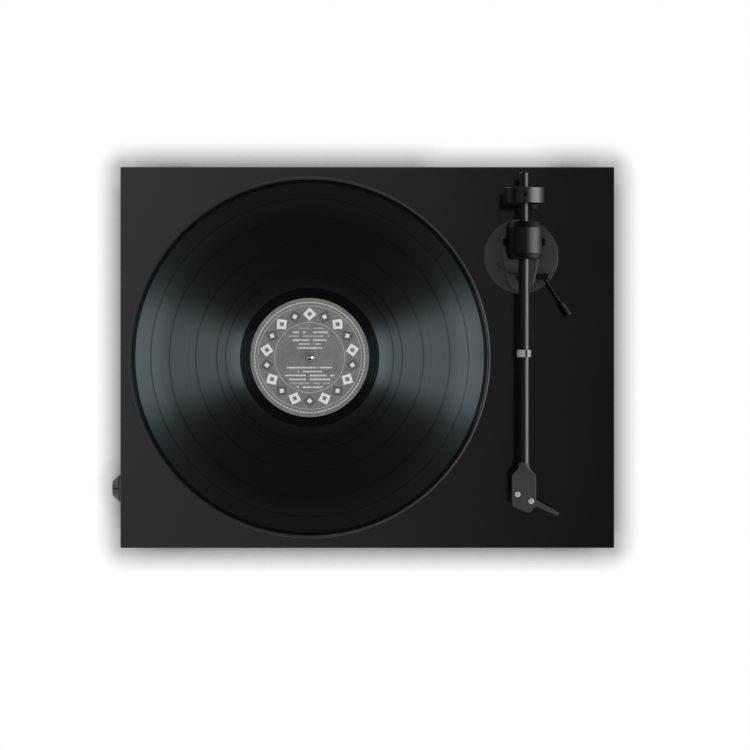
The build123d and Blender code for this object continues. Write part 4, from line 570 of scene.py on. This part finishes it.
# Turned metals: colour, worn colour, roughness, middle and axis of the turning, and how metallic.
for name, colour, worn, *turning in (
    ("steel_fastener", (120, 120, 118), (160, 160, 156), 0.35),
    ("polished_steel", (196, 196, 194), (220, 220, 218), 0.16, record_middle),
    ("turned_aluminium", (88, 88, 90), (112, 112, 114), 0.34, middle_of("platter")),
    ("bronze", (150, 112, 66), (176, 138, 88), 0.35, record_middle),
    ("motor_steel", (150, 150, 150), (178, 178, 176), 0.36, middle_of("motor_can")),
    ("bright_plating", (184, 183, 180), (200, 199, 196), 0.5),
    ("screw_plating", (168, 168, 166), (184, 184, 182), 0.6, (0, 0, 0), "Z", 0.3),
    ("collar_plating", (140, 140, 138), (154, 154, 152), 0.7, (0, 0, 0), "Y", 0.12),
):
    finishes[name] = brushed_round(name, paint(*colour), paint(*worn), *turning)
# Insulators and leads in two colours: the place between them, then the colour to each side of it.
for name, place, left, right in (
    ("jack_colour", middle_of("output_jacks").x, (176, 24, 26), (226, 224, 216)),
    ("lead_colours", pivot.x, (176, 40, 36), (60, 110, 70)),
):
    finishes[name] = two_colours(name, place, paint(*left), paint(*right))

slot_of = {part["node"]: part["material_slot"] for part in frame["record"]["subparts"]}
bodies = frame["record"]["behaviour"]["bodies"]
body_of = {node: body for body, members in bodies.items() for node in members}
for node, slot in slot_of.items():
    nodes[node].data.materials.clear()
    nodes[node].data.materials.append(finishes[slot].material)


def fit(piece, *stands_for, slot=None, finish=None):
    """Gives a piece its finish and its body, and hides the nodes that it stands for."""
    slot = slot or slot_of[stands_for[0]]
    piece.data.materials.clear()
    piece.data.materials.append(finishes[finish or slot].material)
    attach(piece, body_of[stands_for[0]])
    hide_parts(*stands_for)
    return piece


def refit(node, width, steps=2, angle=30, **looks):
    """Dresses a node in a copy of itself, with edges broken by a width in millimetres."""
    return fit(machined(node, width * mm, steps, angle), node, **looks)


# ---------------------------------------------------------------- record, label, mat and platter
record_low, record_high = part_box("vinyl_record")
centre = Vector((record_middle.x, record_middle.y, 0))
hole = 3.62
# One face of the pressing from its hole outwards, in millimetres: height over the middle, radius.
face = [(0.8, hole), (0.8, 50.1), (0.9, 50.1), (0.9, 50.9), (0.7, 52.0)]
for gap in track_gaps:
    face += [(0.7, gap - 0.9), (0.73, gap - 0.6), (0.73, gap + 0.6), (0.7, gap + 0.9)]
face += [(0.7, 146.0), (0.9, 147.0), (0.9, 149.28), (0.83, 149.64), (0.6, 149.9), (0.3, 150.0)]
outline = [(record_middle.z + height * mm, radius * mm) for height, radius in face]
outline += [(record_middle.z - height * mm, radius * mm) for height, radius in reversed(face)]
outline += [outline[0]]
pressing = turn("record_pressing", centre, (0, 0, 1), outline, 256, ring=True)
fit(break_edges(pressing, 0, angle=20), "vinyl_record")

label_radius, label_hole, paper = span("record_labels", "x") / 2, hole * mm, 0.1 * mm
labels = []
for bottom, name in ((record_high.z - paper, "label_top"), (record_low.z, "label_under")):
    outline = [(bottom, label_hole), (bottom, label_radius), (bottom + 0.8 * paper, label_radius)]
    outline += [(bottom + paper, label_radius - paper), (bottom + paper, label_hole), outline[0]]
    labels.append(break_edges(turn(name, centre, (0, 0, 1), outline, 192, ring=True), 0))
fit(join("labels", *labels), "record_labels")

mat_low, mat_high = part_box("platter_mat")
low, high = mat_low.z, mat_high.z
mat_radius, mat_hole, label_dip = span("platter_mat", "x") / 2, 4.2 * mm, 0.6 * mm
outline = [(low, mat_hole), (high - label_dip, mat_hole), (high - label_dip, 52 * mm)]
outline += [(high, 52.4 * mm)]
rib, rib_pitch, rib_depth = 53.4 * mm, 3.2 * mm, 0.35 * mm
while rib < mat_radius - 5 * mm:
    outline += [(high, rib), (high - rib_depth, rib + 0.25 * mm)]
    outline += [(high - rib_depth, rib + 0.95 * mm), (high, rib + 1.2 * mm)]
    rib += rib_pitch
outline += [(high, mat_radius - 0.4 * mm), (high - 0.4 * mm, mat_radius)]
outline += [(low, mat_radius), outline[0]]
fit(break_edges(turn("ribbed_mat", centre, (0, 0, 1), outline, 128, ring=True), 0), "platter_mat")

platter_low, platter_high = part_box("platter")
low, high = platter_low.z, platter_high.z
rim, bore = span("platter", "x") / 2, 3.7 * mm
web, wall, edge = 3.5 * mm, 12 * mm, 1.0 * mm
lip_radius, lip, lip_foot = span("drive_disc", "x") / 2, 2 * mm, low + 10 * mm
outline = [(high - web, bore), (high, bore), (high, rim - edge)]
for a in (pi / 8, pi / 4, 3 * pi / 8):
    outline.append((high - edge * (1 - cos(a)), rim - edge * (1 - sin(a))))
outline.append((high - edge, rim))
# A fine groove round the rim: how far below the top, and how deep.
for down, deep in ((7.2, 0.0), (7.5, 0.35), (7.8, 0.0)):
    outline.append((high - down * mm, rim - deep * mm))
outline += [(low + edge, rim), (low, rim - edge), (low, rim - wall), (high - web, rim - wall)]
outline += [(high - web, lip_radius), (lip_foot, lip_radius), (lip_foot, lip_radius - lip)]
outline += [(high - web, lip_radius - lip), (high - web, bore)]
fit(break_edges(turn("turned_platter", centre, (0, 0, 1), outline, 256, ring=True), 0), "platter")

spindle_low, spindle_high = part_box("main_spindle")
foot, tip = spindle_low.z, spindle_high.z
shoulder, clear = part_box("drive_disc")[1].z - 1.0 * mm, record_high.z + 1.0 * mm
journal, seat, free_end, nose = 5.0 * mm, 3.55 * mm, 3.35 * mm, 2.8 * mm
outline = [(foot, 2.0 * mm), (foot + 0.45 * mm, 3.4 * mm), (foot + 1.5 * mm, 4.6 * mm)]
outline += [(foot + 3 * mm, journal), (shoulder, journal), (shoulder, seat)]
outline += [(clear, seat), (clear, free_end)]
for step in range(9):
    a = step * pi / 16
    outline.append((tip - nose * (1 - sin(a)), 0.55 * mm + nose * cos(a)))
fit(break_edges(turn("spindle", centre, (0, 0, 1), outline, 64), 0.05 * mm), "main_spindle")

# ---------------------------------------------------------------- plinth and arm base
plinth = refit("plinth", 0.3)
refit("arm_base_disc", 0.07)
refit("arm_base_body", 0.06)
refit("arm_yoke", 0.2)
refit("pivot_screws", 0.25, 3, slot="black_satin_metal")
refit("lift_cylinder", 0.2)
refit("lift_bridge", 0.15)
refit("lever_shaft", 0.15)
refit("lever_rod", 0.1)
refit("lever_knob", 0.1, slot="black_satin_metal")
refit("arm_rest", 0.25)

# ---------------------------------------------------------------- arm
def arm_turn(name, node, outline, segments, ring=False):
    """Turns a piece about the arm's long axis, from the front end of its node."""
    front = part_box(node)[0].y
    return turn(name, (pivot.x, front, pivot.z), (0, 1, 0), outline, segments, ring)


barrel_radius, length = span("bearing_barrel", "x") / 2, span("bearing_barrel", "y")
cone, drop, nip = 5.0 * mm, 1.9 * mm, 0.5 * mm
outline = [(0, barrel_radius - drop - nip), (nip, barrel_radius - drop), (cone, barrel_radius)]
outline += [(length - cone, barrel_radius), (length - nip, barrel_radius - drop)]
outline += [(length, barrel_radius - drop - nip)]
barrel = arm_turn("barrel", "bearing_barrel", outline, 128)
fit(break_edges(barrel, 0.3 * mm, 3, 12), "bearing_barrel", finish="barrel_satin")

tube_radius, length = span("arm_tube", "x") / 2, span("arm_tube", "y")
bore = tube_radius - 0.7 * mm
outline = [(0, bore), (0, tube_radius), (length, tube_radius), (length, bore), (0, bore)]
fit(break_edges(arm_turn("tube", "arm_tube", outline, 96, ring=True), 0.1 * mm), "arm_tube")

stub_radius, length = span("weight_stub", "x") / 2, span("weight_stub", "y")
outline = [(0, stub_radius), (length - nip, stub_radius), (length, stub_radius - nip)]
fit(break_edges(arm_turn("stub", "weight_stub", outline, 64), 0.1 * mm), "weight_stub")
refit("tube_collar", 0.12, finish="collar_plating")

weight_radius, length = span("counterweight", "x") / 2, span("counterweight", "y")
bore, chamfer = stub_radius + 0.05 * mm, 0.35 * mm
outline = [(0, bore), (0, weight_radius - chamfer), (chamfer, weight_radius)]
outline += [(length - chamfer, weight_radius), (length, weight_radius - chamfer)]
outline += [(length, bore), (0, bore)]
weight = arm_turn("weight", "counterweight", outline, 128, ring=True)
weight_low, weight_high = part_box("counterweight")
drilled, drill_radius = (pivot.x, (weight_low.y + weight_high.y) / 2, pivot.z), 1.5 * mm
drill_path = [(bore * 0.9, drill_radius), (weight_radius + 1 * mm, drill_radius)]
drill = turn("drill", drilled, (0, 0, 1), drill_path, 32)
fit(break_edges(cut(weight, drill), 0.1 * mm), "counterweight")

# The headshell from the tube forwards, in millimetres: how far along, half its width, its foot and
# top, and how round its long edges are.
neck = [
    (0.0, 4.4, -4.4, 4.4, 4.4),
    (1.2, 4.4, -4.4, 4.4, 4.4),
    (2.4, 4.45, -4.3, 4.25, 4.1),
    (3.6, 4.7, -4.1, 3.8, 3.4),
    (4.8, 5.2, -3.8, 3.1, 2.7),
    (6.0, 5.95, -3.4, 2.35, 2.1),
    (7.2, 7.0, -3.05, 1.7, 1.65),
    (8.4, 8.15, -2.75, 1.15, 1.3),
    (9.4, 9.1, -2.6, 0.78, 1.0),
    (10.3, 9.7, -2.52, 0.58, 0.8),
    (11.2, 10.0, -2.5, 0.5, 0.7),
    (12.4, 10.1, -2.5, 0.5, 0.7),
]
stations = [(y, -half, half, foot, top, edge) for y, half, foot, top, edge in neck]
# Its front: how far along, and its left and right sides.
front = [
    (32.0, -10.1, 10.1),
    (34.6, -9.7, 10.1),
    (36.0, -9.4, 10.1),
    (36.8, -9.0, 9.9),
    (37.4, -7.6, 9.2),
    (38.2, -5.5, 8.0),
    (39.2, -3.0, 7.0),
    (40.2, -0.4, 6.3),
    (41.0, 1.7, 5.7),
    (41.4, 2.6, 5.2),
    (41.6, 3.2, 4.6),
]
stations += [(y, left, right, -2.5, 0.5, 0.7 if y < 41 else 0.6) for y, left, right in front]
stations = [tuple(value * mm for value in station) for station in stations]
tube_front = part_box("arm_tube")[0].y
shell = flared("shell", (pivot.x, tube_front, pivot.z), (0, -1, 0), stations)
# The finger lift: how far along, and half its width.
lean = radians(-26.8)
lift = [(-4.0, 2.45), (0.0, 2.45), (20.2, 1.45), (20.8, 1.25), (21.1, 0.85)]
stations = [tuple(value * mm for value in (x, -half, half, -1.15, 0.42, 0.35)) for x, half in lift]
root = (pivot.x + 10.1 * mm, tube_front - 33.8 * mm, pivot.z)
finger_lift = flared("finger_lift", root, (cos(lean), sin(lean), 0), stations)
fit(break_edges(join("shell_and_finger_lift", shell, finger_lift), 0), "headshell")
refit("cartridge_screws", 0.12, angle=40, finish="screw_plating")
refit("cartridge_body", 0.25, angle=40)
refit("stylus_holder", 0.25, angle=40)
refit("selector_knob", 0.2, angle=25, slot="grey_satin", finish="knob_satin")
refit("weight_screw", 0.1, slot="black_satin_metal")

# ---------------------------------------------------------------- floor, light and camera
scene = bpy.context.scene
bpy.ops.object.select_all(action="DESELECT")
bpy.ops.mesh.primitive_plane_add(size=12.0, location=(0, 0, cad_low.z))
floor = bpy.context.object
floor.name = "floor"

# A white floor that glows, with a painted shade where ambient occlusion finds the part over it, and
# a painted shade softly all round the plinth's box.
floor_paint = Finish("floor_paint", (0.8, 0.8, 0.8, 1.0), 0.9)
# Painted shade: the glow is dimmed where ambient occlusion finds the part close over the floor.
open_sky = floor_paint.node("ShaderNodeAmbientOcclusion", {"samples": 16}, {"Distance": 0.03}, "AO")
shaded = 1 - open_sky
shaded = (2.2 * shaded).math("SMOOTH_MIN", 0.9, 0.3)
plinth_low, plinth_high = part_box("plinth")
plinth_middle, deck = (plinth_low + plinth_high) / 2, plinth_high.z
spot = floor_paint.place(plinth_middle, (1, 1, 0))
beyond = []
for letter, reach in zip("XY", (plinth_high - plinth_low) / 2):
    out = floor_paint.axis(spot, letter)
    beyond.append((out.math("ABSOLUTE") - reach).math("MAXIMUM", 0.0))
beyond = floor_paint.reach(floor_paint.node("ShaderNodeCombineXYZ", None, [*beyond, 0.0]))
# Painted shade that fades out from the plinth's box over a set reach.
edge_shade, edge_reach = 0.58, 26 * mm
painted_edge_shade = edge_shade * beyond.ramp(edge_reach, 0.0)
bright = 1 - shaded.math("MAXIMUM", painted_edge_shade)
glow = floor_paint.node("ShaderNodeEmission", None, {"Strength": bright})
seen = floor_paint.ray("Camera", "Glossy", "Transmission")
plain = Wire(floor_paint, floor_paint.shader.outputs[0])
mixed = floor_paint.node("ShaderNodeMixShader", None, [seen, plain, glow])
floor_paint.feed(floor_paint.tree.nodes["Material Output"].inputs["Surface"], mixed)
floor.data.materials.append(floor_paint.material)

# A white backdrop all round, under a ceiling that is lit on the left.
world = bpy.data.worlds.new("studio")
scene.world = world
room = Wiring(world)
towards = room.node("ShaderNodeTexCoord", out="Generated")
x, y, z = (room.axis(towards, letter) for letter in "XYZ")
ceiling = 0.74 * x.ramp(0.16, -0.14) + 0.36 * x.ramp(-0.16, -0.3)
ceiling = ceiling * x.ramp(-0.75, -0.62) * (1 + 1.6 * y) * (y * y).ramp(0.035, 0.006)
backdrop = z.ramp(0.06, 0.02) * room.ray("Glossy", "Transmission")
strength = (ceiling + 0.03).math("MAXIMUM", backdrop)
strength = strength.math("MAXIMUM", room.ray("Camera"))
strength = strength.math("MAXIMUM", 0.6 * room.ray("Diffuse"))
world.cycles.sampling_method = "NONE"
room.feed(room.tree.nodes["Background"].inputs["Color"], (1, 1, 1, 1))
room.feed(room.tree.nodes["Background"].inputs["Strength"], strength)


def lamp(name, place, aim, width, height, power, gloss):
    """A soft panel aimed at a point, which is for gloss or else for the even light."""
    light = bpy.data.lights.new(name, "AREA")
    light.shape, light.size, light.size_y, light.energy = "RECTANGLE", width, height, power
    stand = bpy.data.objects.new(name, light)
    scene.collection.objects.link(stand)
    stand.location = place
    stand.rotation_euler = (Vector(aim) - Vector(place)).to_track_quat("-Z", "Y").to_euler()
    stand.visible_diffuse, stand.visible_glossy = not gloss, gloss
    return stand


side_panel = lamp(
    "side_panel", (1.275, 0, 0.71), (0, 0, 0.275), width=0.95, height=1.4, power=50, gloss=True
)
lamp("even_panel", (-0.1, -0.2, 1.8), (0, 0, deck), width=1.6, height=1.6, power=9, gloss=False)

# The lacquer would mirror the side panel as a white sheet, so the plinth is flagged off from it.
flagged_off = bpy.data.collections.new("flagged_off")
flagged_off.objects.link(plinth)
flagged_off.collection_objects[0].light_linking.link_state = "EXCLUDE"
side_panel.light_linking.receiver_collection = flagged_off

camera_height, focal_length = 2.2, 124.2
lens = bpy.data.cameras.new("camera")
camera = bpy.data.objects.new("camera", lens)
scene.collection.objects.link(camera)
camera.location = (plinth_middle.x, plinth_middle.y, deck + camera_height)
lens.lens = focal_length
lens.shift_x, lens.shift_y = 0.0102, -0.0233
scene.camera = camera
scene.view_settings.view_transform = "Standard"
